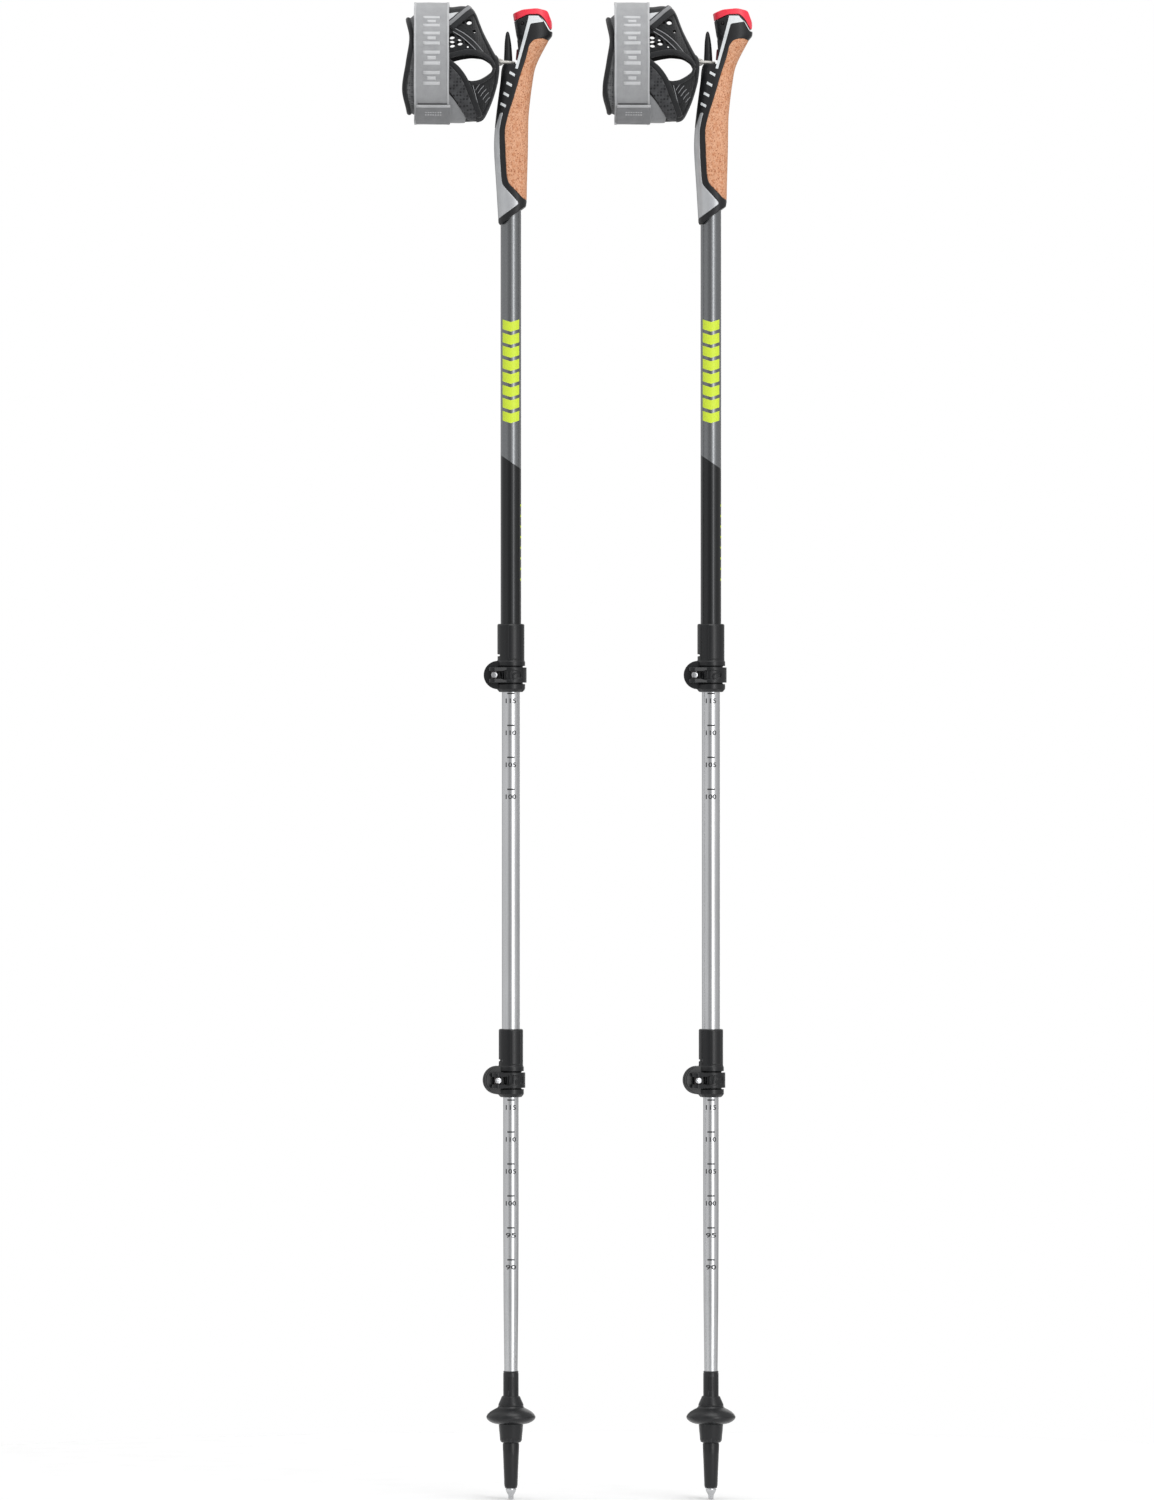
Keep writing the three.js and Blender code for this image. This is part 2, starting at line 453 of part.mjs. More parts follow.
// A lever clamp: a split collar with two ears, and a cam lever on a barrel pin that a cross screw
// pulls towards the nut behind the ears.
function addClamp(group, name, clamp) {
  const core = clamp.sleeve - COLLAR.core;
  const flange = clamp.sleeve + COLLAR.flange;
  const body = solid(turned([
    [clamp.inner + GAP, -CLAMP.bottom],
    [clamp.inner + COLLAR.lip, -CLAMP.bottom],
    [flange, -CLAMP.flange],
    [flange, -CLAMP.slot],
    [core, -CLAMP.slot],
    [core, CLAMP.slot],
    [flange, CLAMP.slot],
    [flange, CLAMP.flange],
    [clamp.sleeve, CLAMP.flange],
    [clamp.sleeve, CLAMP.top - COLLAR.chamfer],
    [clamp.sleeve - COLLAR.chamfer, CLAMP.top],
    [clamp.outer + GAP, CLAMP.top],
    [clamp.outer + GAP, -CLAMP.floor],
    [clamp.inner + GAP, -CLAMP.floor],
    [clamp.inner + GAP, -CLAMP.bottom],
  ]));
  const earShape = new THREE.Shape();
  const reach = Math.acos((EAR.right + EAR.centre) / EAR.radius);
  earShape.absarc(-EAR.centre, 0, EAR.radius, reach, 2 * Math.PI - reach);
  const earOutline = shapeOf(earShape.getPoints(7).map((point) => [point.x, point.y]));
  const tubeRoom = solid(rod(clamp.outer + GAP, -CLAMP.floor, FAR, SIDES));
  const innerRoom = solid(rod(clamp.inner + GAP, -FAR, 0, SIDES));
  const slitEnd = SLIT.beyondAxis - clamp.inner;
  const slit = box(-FAR, slitEnd, EAR.front[1], EAR.rear[0], SLIT.bottom, SLIT.top);
  const notchEnd = -clamp.outer - REAR_NOTCH.deep;
  const notch = box(-FAR, notchEnd, -REAR_NOTCH.half, REAR_NOTCH.half, REAR_NOTCH.bottom, REAR_NOTCH.top);
  const collar = body
    .add(solid(across(earOutline, ...EAR.front)))
    .add(solid(across(earOutline, ...EAR.rear)))
    .subtract(tubeRoom)
    .subtract(innerRoom)
    .subtract(solid(slit))
    .subtract(solid(notch))
    .subtract(solid(crossRod(SCREW.shank + GAP, -FAR, FAR, CAM.x, 0)));
  addPiece(group, `${name}_collar`, geometryOf(collar), 'black');

  const outerArc = flange + LEVER.thick;
  const innerArc = core + LEVER.clear;
  const angle = THREE.MathUtils.degToRad;
  const on = (radius, degrees) => [radius * Math.cos(angle(degrees)), radius * Math.sin(angle(degrees))];
  const plan = new THREE.Shape();
  plan.moveTo(CAM.x, CAM.y - CAM.radius);
  plan.lineTo(...on(outerArc, LEVER.back));
  plan.absarc(0, 0, outerArc, angle(LEVER.back), angle(LEVER.tip), false);
  plan.lineTo(...on(innerArc, LEVER.tip));
  plan.absarc(0, 0, innerArc, angle(LEVER.tip), angle(LEVER.front), true);
  plan.absarc(CAM.x, CAM.y, CAM.radius, angle(LEVER.camStart), angle(LEVER.camEnd), false);
  const lever = solid(upright(plan, -CLAMP.leverHalf, CLAMP.leverHalf))
    .subtract(solid(rod(BARREL.radius + GAP, -FAR, FAR).translate(CAM.x, CAM.y, 0)))
    .subtract(solid(rod(CAM.slotRadius, -CAM.slotHalf, CAM.slotHalf, SIDES).translate(CAM.x, CAM.y, 0)));
  addPiece(group, `${name}_lever`, geometryOf(lever), 'black');

  const barrel = solid(rod(BARREL.radius, -BARREL.half, BARREL.half).translate(CAM.x, CAM.y, 0))
    .subtract(solid(crossRod(SCREW.shank + GAP, -FAR, FAR, CAM.x, 0)));
  addPiece(group, `${name}_barrel_pin`, geometryOf(barrel), 'steel');

  const screw = turned([
    [0, -SCREW.end], [SCREW.shank, -SCREW.end], [SCREW.shank, -SCREW.headBack],
    [SCREW.head, -SCREW.headBack], [SCREW.head, -SCREW.headFront - SCREW.bevel],
    [SCREW.head - SCREW.bevel, -SCREW.headFront], [0, -SCREW.headFront],
  ]).rotateX(Math.PI / 2);
  addPiece(group, `${name}_screw`, welded(screw), 'steel').position.x = CAM.x;

  const nut = new THREE.Shape();
  for (let corner = 0; corner < 6; corner++) {
    const turn = angle(60 * corner);
    const point = [CAM.x + NUT.radius * Math.cos(turn), NUT.radius * Math.sin(turn)];
    if (corner === 0) nut.moveTo(...point);
    else nut.lineTo(...point);
  }
  const nutSolid = solid(across(nut, NUT.front, NUT.back))
    .subtract(solid(crossRod(SCREW.shank + GAP, -FAR, FAR, CAM.x, 0)));
  addPiece(group, `${name}_nut`, geometryOf(nutSolid), 'steel');
}

function placedClamp(pole, name, clamp) {
  const group = new THREE.Group();
  group.position.z = clamp.height;
  group.rotation.z = THREE.MathUtils.degToRad(clamp.turn);
  addClamp(group, name, clamp);
  pole.add(group);
}

// A plug in a tube's top end whose lip rides in the next tube's bore.
function bushing(tube, nextBore) {
  const lipBottom = tube.top + GAP;
  return turned([
    [0, tube.top - BUSHING.stem],
    [tube.bore - GAP, tube.top - BUSHING.stem],
    [tube.bore - GAP, lipBottom],
    [nextBore - BUSHING.slack, lipBottom],
    [nextBore - BUSHING.slack, lipBottom + BUSHING.lip],
    [0, lipBottom + BUSHING.lip],
  ]);
}

function addTubes(group, side) {
  const { radius, bore, bottom, top } = UPPER_TUBE;
  addPiece(group, `${side}_upper_tube`, welded(pipe(radius, bore, bottom, top)), 'greyTube');
  const middle = pipe(MIDDLE_TUBE.radius, MIDDLE_TUBE.bore, MIDDLE_TUBE.bottom, MIDDLE_TUBE.top);
  addPiece(group, `${side}_middle_tube`, welded(middle), 'silverTube');
  addPiece(group, `${side}_middle_bushing`, welded(bushing(MIDDLE_TUBE, UPPER_TUBE.bore)), 'black');
  const wall = LOWER_TUBE.radius - LOWER_TUBE.bore;
  const lower = turned([
    [TAPER.footRadius - wall, LOWER_TUBE.bottom],
    [TAPER.footRadius, LOWER_TUBE.bottom],
    [TAPER.footRadius, TAPER.bottom],
    [TAPER.middleRadius, TAPER.middle],
    [LOWER_TUBE.radius, TAPER.top],
    [LOWER_TUBE.radius, LOWER_TUBE.top],
    [LOWER_TUBE.bore, LOWER_TUBE.top],
    [LOWER_TUBE.bore, TAPER.top],
    [TAPER.footRadius - wall, LOWER_TUBE.bottom],
  ]);
  addPiece(group, `${side}_lower_tube`, welded(lower), 'silverTube');
  addPiece(group, `${side}_lower_bushing`, welded(bushing(LOWER_TUBE, MIDDLE_TUBE.bore)), 'black');
}

function addFoot(group, side) {
  addPiece(group, `${side}_tip_ferrule`, welded(turned(FERRULE_PROFILE)), 'black');
  const basket = [...BASKET_PROFILE, BASKET_PROFILE[0]];
  addPiece(group, `${side}_basket`, welded(turned(basket)), 'black');
  addPiece(group, `${side}_steel_tip`, welded(turned(TIP_PROFILE)), 'steel');
}

function pole(side) {
  const group = new THREE.Group();
  addGrip(group, side);
  addRelease(group, side);
  addStrap(group, side);
  addTubes(group, side);
  placedClamp(group, `${side}_upper_clamp`, UPPER_CLAMP);
  placedClamp(group, `${side}_lower_clamp`, LOWER_CLAMP);
  addFoot(group, side);
  return group;
}

const group = new THREE.Group();
const left = pole('left');
const right = pole('right');
right.position.x = POLE_SPACING;
group.add(left, right);
group.position.z = -HOLD_HEIGHT;
export default group;
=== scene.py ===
# Looks for a pair of trekking poles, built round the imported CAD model.
# Lengths are millimetres in "pole coordinates": x and y from a pole's own axis, z above the tip's end.
# place() turns them into metres in the model's frame and puts each mesh on both poles.
import math

import bmesh
import bpy
from mathutils import Matrix, Vector, noise


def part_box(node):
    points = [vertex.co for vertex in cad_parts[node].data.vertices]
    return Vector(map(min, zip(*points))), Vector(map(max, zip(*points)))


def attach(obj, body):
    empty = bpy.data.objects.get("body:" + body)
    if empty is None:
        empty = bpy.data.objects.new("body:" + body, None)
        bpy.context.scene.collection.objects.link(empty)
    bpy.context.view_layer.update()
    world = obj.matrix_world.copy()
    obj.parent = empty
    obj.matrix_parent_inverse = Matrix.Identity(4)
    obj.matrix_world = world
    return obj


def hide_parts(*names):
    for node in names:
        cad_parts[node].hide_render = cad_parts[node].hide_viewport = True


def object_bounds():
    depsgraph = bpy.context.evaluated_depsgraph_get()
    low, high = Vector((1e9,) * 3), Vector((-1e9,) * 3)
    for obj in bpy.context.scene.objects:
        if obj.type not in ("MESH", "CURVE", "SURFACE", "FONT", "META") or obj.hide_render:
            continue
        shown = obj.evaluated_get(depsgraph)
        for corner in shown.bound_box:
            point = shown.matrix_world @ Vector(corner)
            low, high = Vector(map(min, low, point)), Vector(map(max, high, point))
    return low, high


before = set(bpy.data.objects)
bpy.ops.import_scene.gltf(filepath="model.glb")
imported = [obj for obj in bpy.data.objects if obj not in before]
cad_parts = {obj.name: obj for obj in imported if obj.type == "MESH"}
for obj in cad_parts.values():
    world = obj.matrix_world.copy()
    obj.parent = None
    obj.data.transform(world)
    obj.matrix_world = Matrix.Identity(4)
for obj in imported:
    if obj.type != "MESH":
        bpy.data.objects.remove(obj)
cad_low, cad_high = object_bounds()

# -------- where the frame puts things
MM = 0.001  # metres
SIDES = ("left", "right")
TIP_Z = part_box("left_steel_tip")[0].z


def axis_x(side):
    low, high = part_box(side + "_upper_tube")
    return (low.x + high.x) / 2


# -------- outlines and mesh tools
FILLET_STEPS = 5


def hermite(rows, key):
    """Smooth values at a key, through rows of (key, value, value, ...) in rising order."""
    if key <= rows[0][0]:
        return rows[0][1:]
    if key >= rows[-1][0]:
        return rows[-1][1:]
    i = next(n for n in range(len(rows) - 1) if key <= rows[n + 1][0])
    before, low, high = rows[max(i - 1, 0)], rows[i], rows[i + 1]
    after = rows[min(i + 2, len(rows) - 1)]
    span = high[0] - low[0]
    t = (key - low[0]) / span
    values = []
    for n in range(1, len(low)):
        start = (high[n] - before[n]) / (high[0] - before[0]) * span
        end = (after[n] - low[n]) / (after[0] - low[0]) * span
        values.append(
            (2 * t**3 - 3 * t**2 + 1) * low[n] + (t**3 - 2 * t**2 + t) * start
            + (3 * t**2 - 2 * t**3) * high[n] + (t**3 - t**2) * end
        )
    return values


def fillet(points, radius):
    """Rounds every corner of an outline; a short edge gets a smaller radius."""
    corners = [Vector(p) for p in points]
    made = []
    for i, corner in enumerate(corners):
        before = corners[i - 1] - corner
        after = corners[(i + 1) % len(corners)] - corner
        cut = min(radius, before.length * 0.45, after.length * 0.45)
        start = corner + before.normalized() * cut
        end = corner + after.normalized() * cut
        for n in range(FILLET_STEPS + 1):
            t = n / FILLET_STEPS
            made.append(tuple(start * (1 - t) ** 2 + corner * 2 * t * (1 - t) + end * t * t))
    return made


def mesh_of(name, points, faces):
    mesh = bpy.data.meshes.new(name)
    mesh.from_pydata([tuple(p) for p in points], [], faces)
    solid = bmesh.new()
    solid.from_mesh(mesh)
    bmesh.ops.remove_doubles(solid, verts=solid.verts, dist=0.002)
    bmesh.ops.recalc_face_normals(solid, faces=solid.faces)
    solid.to_mesh(mesh)
    solid.free()
    return mesh


def grid_faces(rings, sides, closed=False, capped=True):
    """Faces of a tube whose rings are listed one after another: closed into a loop, or else capped."""
    faces = []
    for i in range(rings if closed else rings - 1):
        for j in range(sides):
            a, b = i * sides, (i + 1) % rings * sides
            k = (j + 1) % sides
            faces.append((a + j, a + k, b + k, b + j))
    if capped and not closed:
        last = (rings - 1) * sides
        faces += [tuple(range(sides))[::-1], tuple(range(last, last + sides))]
    return faces


def lathe(profile, sides=96):
    """Turns (radius, height) points about the z axis; the profile ends on the axis or is a loop."""
    points = []
    for radius, height in profile:
        points += [(*point, height) for point in ellipse(radius, radius, sides)]
    return mesh_of("lathe", points, grid_faces(len(profile), sides, profile[0][0] > 0, False))


def slab(outline, low, high, axis="y"):
    """A flat outline pushed along an axis. For y the outline is (x, z); for z (x, y); for x (y, z)."""
    order = {
        "x": lambda a, b, c: (c, a, b),
        "y": lambda a, b, c: (a, c, b),
        "z": lambda a, b, c: (a, b, c),
    }[axis]
    count = len(outline)
    points = [order(a, b, c) for c in (low, high) for a, b in outline]
    faces = [tuple(range(count)), tuple(range(count, 2 * count))[::-1]]
    faces += [(i, (i + 1) % count, count + (i + 1) % count, count + i) for i in range(count)]
    return mesh_of("slab", points, faces)


def block(low, high):
    outline = [(low[0], low[1]), (high[0], low[1]), (high[0], high[1]), (low[0], high[1])]
    return slab(outline, low[2], high[2], "z")


def round_bar(radius, low, high, centre=(0, 0), axis="y", sides=32):
    outline = [(centre[0] + a, centre[1] + b) for a, b in ellipse(radius, radius, sides)]
    return slab(outline, low, high, axis)


def sweep(path, section, closed=False):
    """Moves a small section, given as (side, out) points, along a path of (point, out direction)."""
    count = len(path)
    points = []
    for i, (here, out) in enumerate(path):
        ahead = path[(i + 1) % count][0] if closed or i < count - 1 else here
        behind = path[i - 1][0] if closed or i > 0 else here
        along = (ahead - behind).normalized()
        side = along.cross(out).normalized()
        up = side.cross(along).normalized()
        points += [here + side * s + up * u for s, u in section]
    return mesh_of("sweep", points, grid_faces(count, len(section), closed))


def ellipse(wide, high, sides=12):
    turn = [2 * math.pi * i / sides for i in range(sides)]
    return [(wide * math.cos(a), high * math.sin(a)) for a in turn]


def moved(mesh, matrix):
    mesh.transform(matrix)
    return mesh


def joined(*meshes):
    """Several separate meshes as one, left as they are."""
    whole = bmesh.new()
    for mesh in meshes:
        whole.from_mesh(mesh)
    result = bpy.data.meshes.new("joined")
    whole.to_mesh(result)
    whole.free()
    return result


def added(name, data):
    """A new object in the scene."""
    thing = bpy.data.objects.new(name, data)
    bpy.context.scene.collection.objects.link(thing)
    return thing


def worked(mesh, *steps):
    """Applies modifiers, given as (type, settings), and returns the new mesh."""
    work = added("work", mesh)
    for kind, settings in steps:
        modifier = work.modifiers.new(kind, kind)
        for name, value in settings.items():
            setattr(modifier, name, value)
    graph = bpy.context.evaluated_depsgraph_get()
    result = bpy.data.meshes.new_from_object(work.evaluated_get(graph))
    bpy.data.objects.remove(work)
    return result


def boolean(mesh, operation, *others):
    """Cuts, joins or intersects a mesh with others, in turn."""
    tools = [added("tool", other) for other in others]
    settings = {"operation": operation, "solver": "EXACT"}
    result = worked(mesh, *[("BOOLEAN", {**settings, "object": tool}) for tool in tools])
    for tool in tools:
        bpy.data.objects.remove(tool)
    return result


def moulded(mesh, voxel, smoothing):
    """Rounds every edge a little, as a mould does, by remeshing and smoothing."""
    remesh = ("REMESH", {"mode": "VOXEL", "voxel_size": voxel})
    return worked(mesh, remesh, ("SMOOTH", {"factor": 0.5, "iterations": smoothing}))


# -------- placing pieces on both poles
def place(mesh, name, material, body, slot, replaces=(), padding=None, sharp=None):
    """Puts one mesh, made in pole coordinates, on each pole."""
    mesh.transform(Matrix.Translation((0, 0, TIP_Z)) @ Matrix.Scale(MM, 4))
    mesh.polygons.foreach_set("use_smooth", [True] * len(mesh.polygons))
    if sharp is not None:
        mesh.set_sharp_from_angle(angle=math.radians(sharp))
    mesh.materials.clear()
    mesh.materials.append(material)
    mesh.name = name
    for side in SIDES:
        piece = added(f"{side}_{name}", mesh)
        piece.location.x = axis_x(side)
        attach(piece, f"{side}_{body}")
        if replaces:
            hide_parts(*[f"{side}_{node}" for node in replaces])


# -------- materials
def linear(red, green, blue):
    """A screen colour, 0 to 255, as the renderer's linear colour."""
    def one(value):
        value /= 255
        return value / 12.92 if value <= 0.04045 else ((value + 0.055) / 1.055) ** 2.4
    return (one(red), one(green), one(blue), 1)


def add_node(tree, kind, inputs=None, **settings):
    """A new shader node. The inputs map a socket to a number, a colour or another node's output."""
    node = tree.nodes.new("ShaderNode" + kind)
    for name, value in settings.items():
        setattr(node, name, value)
    for socket, value in (inputs or {}).items():
        if isinstance(value, bpy.types.NodeSocket):
            tree.links.new(value, node.inputs[socket])
        else:
            node.inputs[socket].default_value = value
    return node


def add_ramp(tree, value, stops):
    """Blends between (position, colour) stops; each colour is red, green, blue and 1."""
    node = add_node(tree, "ValToRGB", {"Fac": value})
    elements = node.color_ramp.elements
    while len(elements) < len(stops):
        elements.new(0.5)
    for element, (position, colour) in zip(elements, stops):
        element.position = position
        element.color = colour
    return node.outputs["Color"]


# Input numbers of the Mix node when it mixes colours, and of its colour output.
MIX_FIRST, MIX_SECOND, MIX_RESULT = 6, 7, 2
NO_SHADE, FULL_SHADE = (0, 0, 0), (255, 255, 255)
# The wave texture draws about this many bands for each unit of its scale.
WAVE_BANDS = 3.2


class Finish:
    """A material with one Principled shader and a few procedural details."""

    def __init__(self, name, colour, roughness, metallic=0.0, **inputs):
        self.material = bpy.data.materials.new(name)
        self.material.use_nodes = True
        self.tree = self.material.node_tree
        self.shader = self.tree.nodes["Principled BSDF"]
        self.shader.inputs["Base Color"].default_value = linear(*colour)
        self.shader.inputs["Roughness"].default_value = roughness
        self.shader.inputs["Metallic"].default_value = metallic
        for label, value in inputs.items():
            self.shader.inputs[label.replace("_", " ")].default_value = value
        self.place = add_node(self.tree, "TexCoord").outputs["Object"]
        self.height = None

    def mapped(self, scale=(1, 1, 1), turn=(0, 0, 0)):
        inputs = {"Scale": scale, "Rotation": turn, "Vector": self.place}
        return add_node(self.tree, "Mapping", inputs).outputs["Vector"]

    def noise(self, size, detail=3, stretch=(1, 1, 1)):
        """Noise whose blotches are about size millimetres across."""
        inputs = {"Scale": 1 / (size * MM), "Detail": detail, "Vector": self.mapped(stretch)}
        return add_node(self.tree, "TexNoise", inputs).outputs["Fac"]

    def cells(self, size, feature="F1", output="Distance", randomness=1.0):
        inputs = {"Scale": 1 / (size * MM), "Randomness": randomness, "Vector": self.mapped()}
        return add_node(self.tree, "TexVoronoi", inputs, feature=feature).outputs[output]

    def wave(self, size, direction="Z", distortion=0.0, turn=(0, 0, 0)):
        inputs = {"Scale": 1 / (size * MM) / WAVE_BANDS, "Distortion": distortion}
        inputs["Vector"] = self.mapped(turn=turn)
        return add_node(self.tree, "TexWave", inputs, bands_direction=direction).outputs["Fac"]

    def math(self, operation, a, b):
        return add_node(self.tree, "Math", {0: a, 1: b}, operation=operation).outputs[0]

    def ramp(self, value, stops):
        """Blends between (position, colour) stops; a colour is three numbers from 0 to 255."""
        return add_ramp(self.tree, value, [(position, linear(*colour)) for position, colour in stops])

    def share(self, value, low, high):
        """Nothing below low, everything above high: for mixing one look into another."""
        return self.ramp(value, [(low, NO_SHADE), (high, FULL_SHADE)])

    def mixed(self, share, first, second):
        inputs = {"Factor": share}
        for socket, colour in ((MIX_FIRST, first), (MIX_SECOND, second)):
            inputs[socket] = linear(*colour) if isinstance(colour, tuple) else colour
        return add_node(self.tree, "Mix", inputs, data_type="RGBA").outputs[MIX_RESULT]

    def colour(self, socket):
        self.tree.links.new(socket, self.shader.inputs["Base Color"])

    def rough(self, value, low, high):
        node = add_node(self.tree, "MapRange", {"To Min": low, "To Max": high, "Value": value})
        self.tree.links.new(node.outputs["Result"], self.shader.inputs["Roughness"])

    def bump(self, value, depth, strength=1.0):
        """Raises the surface by up to depth millimetres; a second call adds to the first."""
        inputs = {"Distance": depth * MM, "Strength": strength, "Height": value}
        if self.height is not None:
            inputs["Normal"] = self.height
        self.height = add_node(self.tree, "Bump", inputs).outputs["Normal"]
        self.tree.links.new(self.height, self.shader.inputs["Normal"])

    def painted_edge_highlight(self, plain, edge_highlight, low, high):
        """Paints a highlight on the raised edges: lightens their colour, a little patchily."""
        edge = add_node(self.tree, "NewGeometry").outputs["Pointiness"]
        patchy = self.math("MULTIPLY", self.noise(3, 4), 0.06)
        self.colour(self.mixed(self.share(self.math("ADD", edge, patchy), low, high), plain, edge_highlight))


def cool(shade):
    """A neutral grey with a touch of blue."""
    return (shade, shade + 1, shade + 3)


def moulded_black(name, shade, roughness, grain):
    finish = Finish(name, cool(shade), roughness, Specular_IOR_Level=0.36)
    # Painted highlight: the raised edges are coloured 26 levels lighter than the base, a little patchily.
    finish.painted_edge_highlight(cool(shade), cool(shade + 26), 0.56, 0.66)
    finish.rough(finish.noise(6, 4), roughness - 0.07, roughness + 0.08)
    finish.bump(finish.cells(grain), 0.02, 0.5)
    return finish.material


def cork_finish():
    """Pressed cork: pale grains of about a millimetre, brown flecks and small open pores."""
    finish = Finish("cork", (222, 165, 125), 0.85, Specular_IOR_Level=0.25)
    grains = finish.ramp(finish.cells(CORK_GRAIN, output="Color"), [
        (0.0, (186, 126, 92)), (0.25, (208, 150, 112)), (0.7, (215, 162, 129)), (1.0, (230, 184, 153)),
    ])
    soft = finish.ramp(finish.noise(0.7, 5), [(0.35, (184, 128, 96)), (0.65, (226, 180, 149))])
    base = finish.mixed(finish.noise(2.2, 3), grains, soft)
    base = finish.mixed(finish.share(finish.noise(2.6, 4), 0.52, 0.66), base, (192, 131, 95))
    flecks = finish.share(finish.noise(1.0, 6, (1, 1, 0.8)), 0.55, 0.62)
    base = finish.mixed(flecks, base, (158, 98, 66))
    finish.colour(finish.mixed(finish.share(finish.noise(0.45, 4), 0.64, 0.7), base, (128, 78, 50)))
    finish.rough(finish.noise(2, 4), 0.75, 0.92)
    finish.bump(finish.cells(CORK_GRAIN, "DISTANCE_TO_EDGE"), 0.06, 0.5)
    finish.bump(finish.noise(0.45, 6), 0.1, 0.6)
    return finish.material


def satin_plastic(name, colour, dark, roughness, metallic=0.0):
    finish = Finish(name, colour, roughness, metallic, Coat_Weight=0.15, Coat_Roughness=0.25)
    blotch = finish.noise(9, 4)
    finish.colour(finish.ramp(blotch, [(0.3, dark), (0.7, colour)]))
    finish.rough(finish.noise(2.5, 5), roughness - 0.06, roughness + 0.07)
    finish.bump(finish.noise(0.35, 3), 0.012, 0.5)
    return finish.material


def drawn_metal(name, light, dark, roughness, lines=0.25):
    """Metal with the fine lengthways lines of a drawn and anodised tube."""
    finish = Finish(name, light, roughness, 1.0)
    streaks = finish.noise(lines, 3, (1, 1, 0.01))
    clouds = finish.noise(18, 4, (1, 1, 0.3))
    streaky, cloudy = finish.math("MULTIPLY", streaks, 0.6), finish.math("MULTIPLY", clouds, 0.4)
    both = finish.math("ADD", streaky, cloudy)
    finish.colour(finish.ramp(both, [(0.35, dark), (0.65, light)]))
    finish.rough(both, roughness - 0.03, roughness + 0.04)
    finish.bump(streaks, 0.0015, 0.5)
    return finish.material


def painted_tube(edge_height, slope):
    """Grey metallic lacquer above a slanting edge and black below it, as the pole's upper tube has."""
    coat = {"Coat_Weight": 0.5, "Coat_Roughness": 0.14}
    finish = Finish("upper_tube_lacquer", (122, 124, 126), 0.3, 0.9, **coat)
    split = add_node(finish.tree, "SeparateXYZ", {"Vector": finish.place}).outputs
    level = finish.math("ADD", split["Z"], finish.math("MULTIPLY", split["X"], slope))
    above = finish.math("GREATER_THAN", level, TIP_Z + edge_height * MM)
    flakes = finish.cells(0.25, output="Color")
    grey = finish.ramp(flakes, [(0.0, (104, 106, 108)), (1.0, (124, 126, 128))])
    black = finish.ramp(finish.noise(0.3, 3), [(0.3, (26, 27, 28)), (0.7, (40, 41, 43))])
    finish.colour(finish.mixed(above, black, grey))
    finish.rough(finish.noise(8, 5), 0.22, 0.28)
    finish.bump(finish.noise(0.3, 2), 0.0012, 0.4)
    return finish.material


def ink(name, colour):
    finish = Finish(name, colour, 0.45)
    thin = tuple(int(c * 0.93) for c in colour)
    finish.colour(finish.ramp(finish.noise(0.5, 5), [(0.3, thin), (0.55, colour)]))
    finish.rough(finish.noise(1, 4), 0.38, 0.55)
    return finish.material


def cloth_finish(name, light, roughness, sheen):
    """The plain start of a woven or knitted material."""
    look = {"Sheen_Weight": sheen, "Sheen_Roughness": 0.5, "Specular_IOR_Level": 0.2}
    return Finish(name, cool(light), roughness, **look)


def woven(name, light, dark, pitch, roughness=0.85, sheen=0.4):
    """Cloth woven of threads one pitch apart, with soft colour changes along it."""
    finish = cloth_finish(name, light, roughness, sheen)
    cloth = finish.math("MULTIPLY", finish.wave(pitch, "X", 0.4), finish.wave(pitch, "Z", 0.4))
    fuzz = finish.noise(0.6, 4)
    tone = finish.math("MULTIPLY", cloth, 0.35)
    for part, weight in ((finish.noise(7, 5), 0.45), (fuzz, 0.3)):
        tone = finish.math("ADD", tone, finish.math("MULTIPLY", part, weight))
    finish.colour(finish.ramp(tone, [(0.25, cool(dark)), (0.7, cool(light))]))
    finish.bump(cloth, 0.18, 0.7)
    finish.bump(fuzz, 0.06, 0.5)
    return finish.material


def spacer_mesh(name, light, dark, pitch):
    """Knitted spacer mesh: small dark dimples in rows between raised threads."""
    finish = cloth_finish(name, light, 0.88, 0.25)
    dimple = finish.cells(pitch, "F1", "Distance", 0.15)
    blotch = finish.noise(5, 4)
    shaded = tuple(int(c * 0.75) for c in cool(light))
    threads = finish.ramp(blotch, [(0.3, shaded), (0.7, cool(light))])
    finish.colour(finish.mixed(finish.share(dimple, 0.2, 0.45), cool(dark), threads))
    finish.bump(dimple, 0.5, 0.8)
    finish.bump(finish.noise(0.4, 3), 0.06, 0.5)
    return finish.material


def braided(name, light, dark, pitch):
    finish = Finish(name, light, 0.8, Sheen_Weight=0.3, Specular_IOR_Level=0.2)
    one = finish.wave(pitch, "X", 0.3, (0, 0.7, 0.7))
    other = finish.wave(pitch, "X", 0.3, (0, -0.7, -0.7))
    plait = finish.math("MULTIPLY", one, other)
    finish.colour(finish.ramp(plait, [(0.0, dark), (0.5, light)]))
    finish.bump(plait, 0.1, 0.7)
    return finish.material


CORK_GRAIN = 1.15
BLACK = moulded_black("black_moulded", 21, 0.3, 0.5)
SOFT_BLACK = moulded_black("black_soft_touch", 24, 0.42, 0.35)
CORK = cork_finish()
SILVER = satin_plastic("silver_panel", (186, 188, 190), (172, 174, 177), 0.34, 0.35)
RED = satin_plastic("red_button", (236, 52, 74), (226, 38, 60), 0.36)
DARK_RED = satin_plastic("dark_red_latch", (128, 22, 40), (98, 14, 28), 0.4)
DARK_STEEL = drawn_metal("blackened_steel", (74, 70, 70), (44, 42, 43), 0.35, 0.15)
STEEL = drawn_metal("bright_steel", (205, 206, 208), (160, 161, 163), 0.22, 0.15)
SILVER_TUBE = drawn_metal("anodised_tube", (203, 204, 206), (190, 191, 193), 0.22)
CORD = braided("cord_braid", (238, 236, 230), (196, 193, 187), 0.5)
BAND_WEB = woven("wrist_webbing", 168, 140, 0.45)
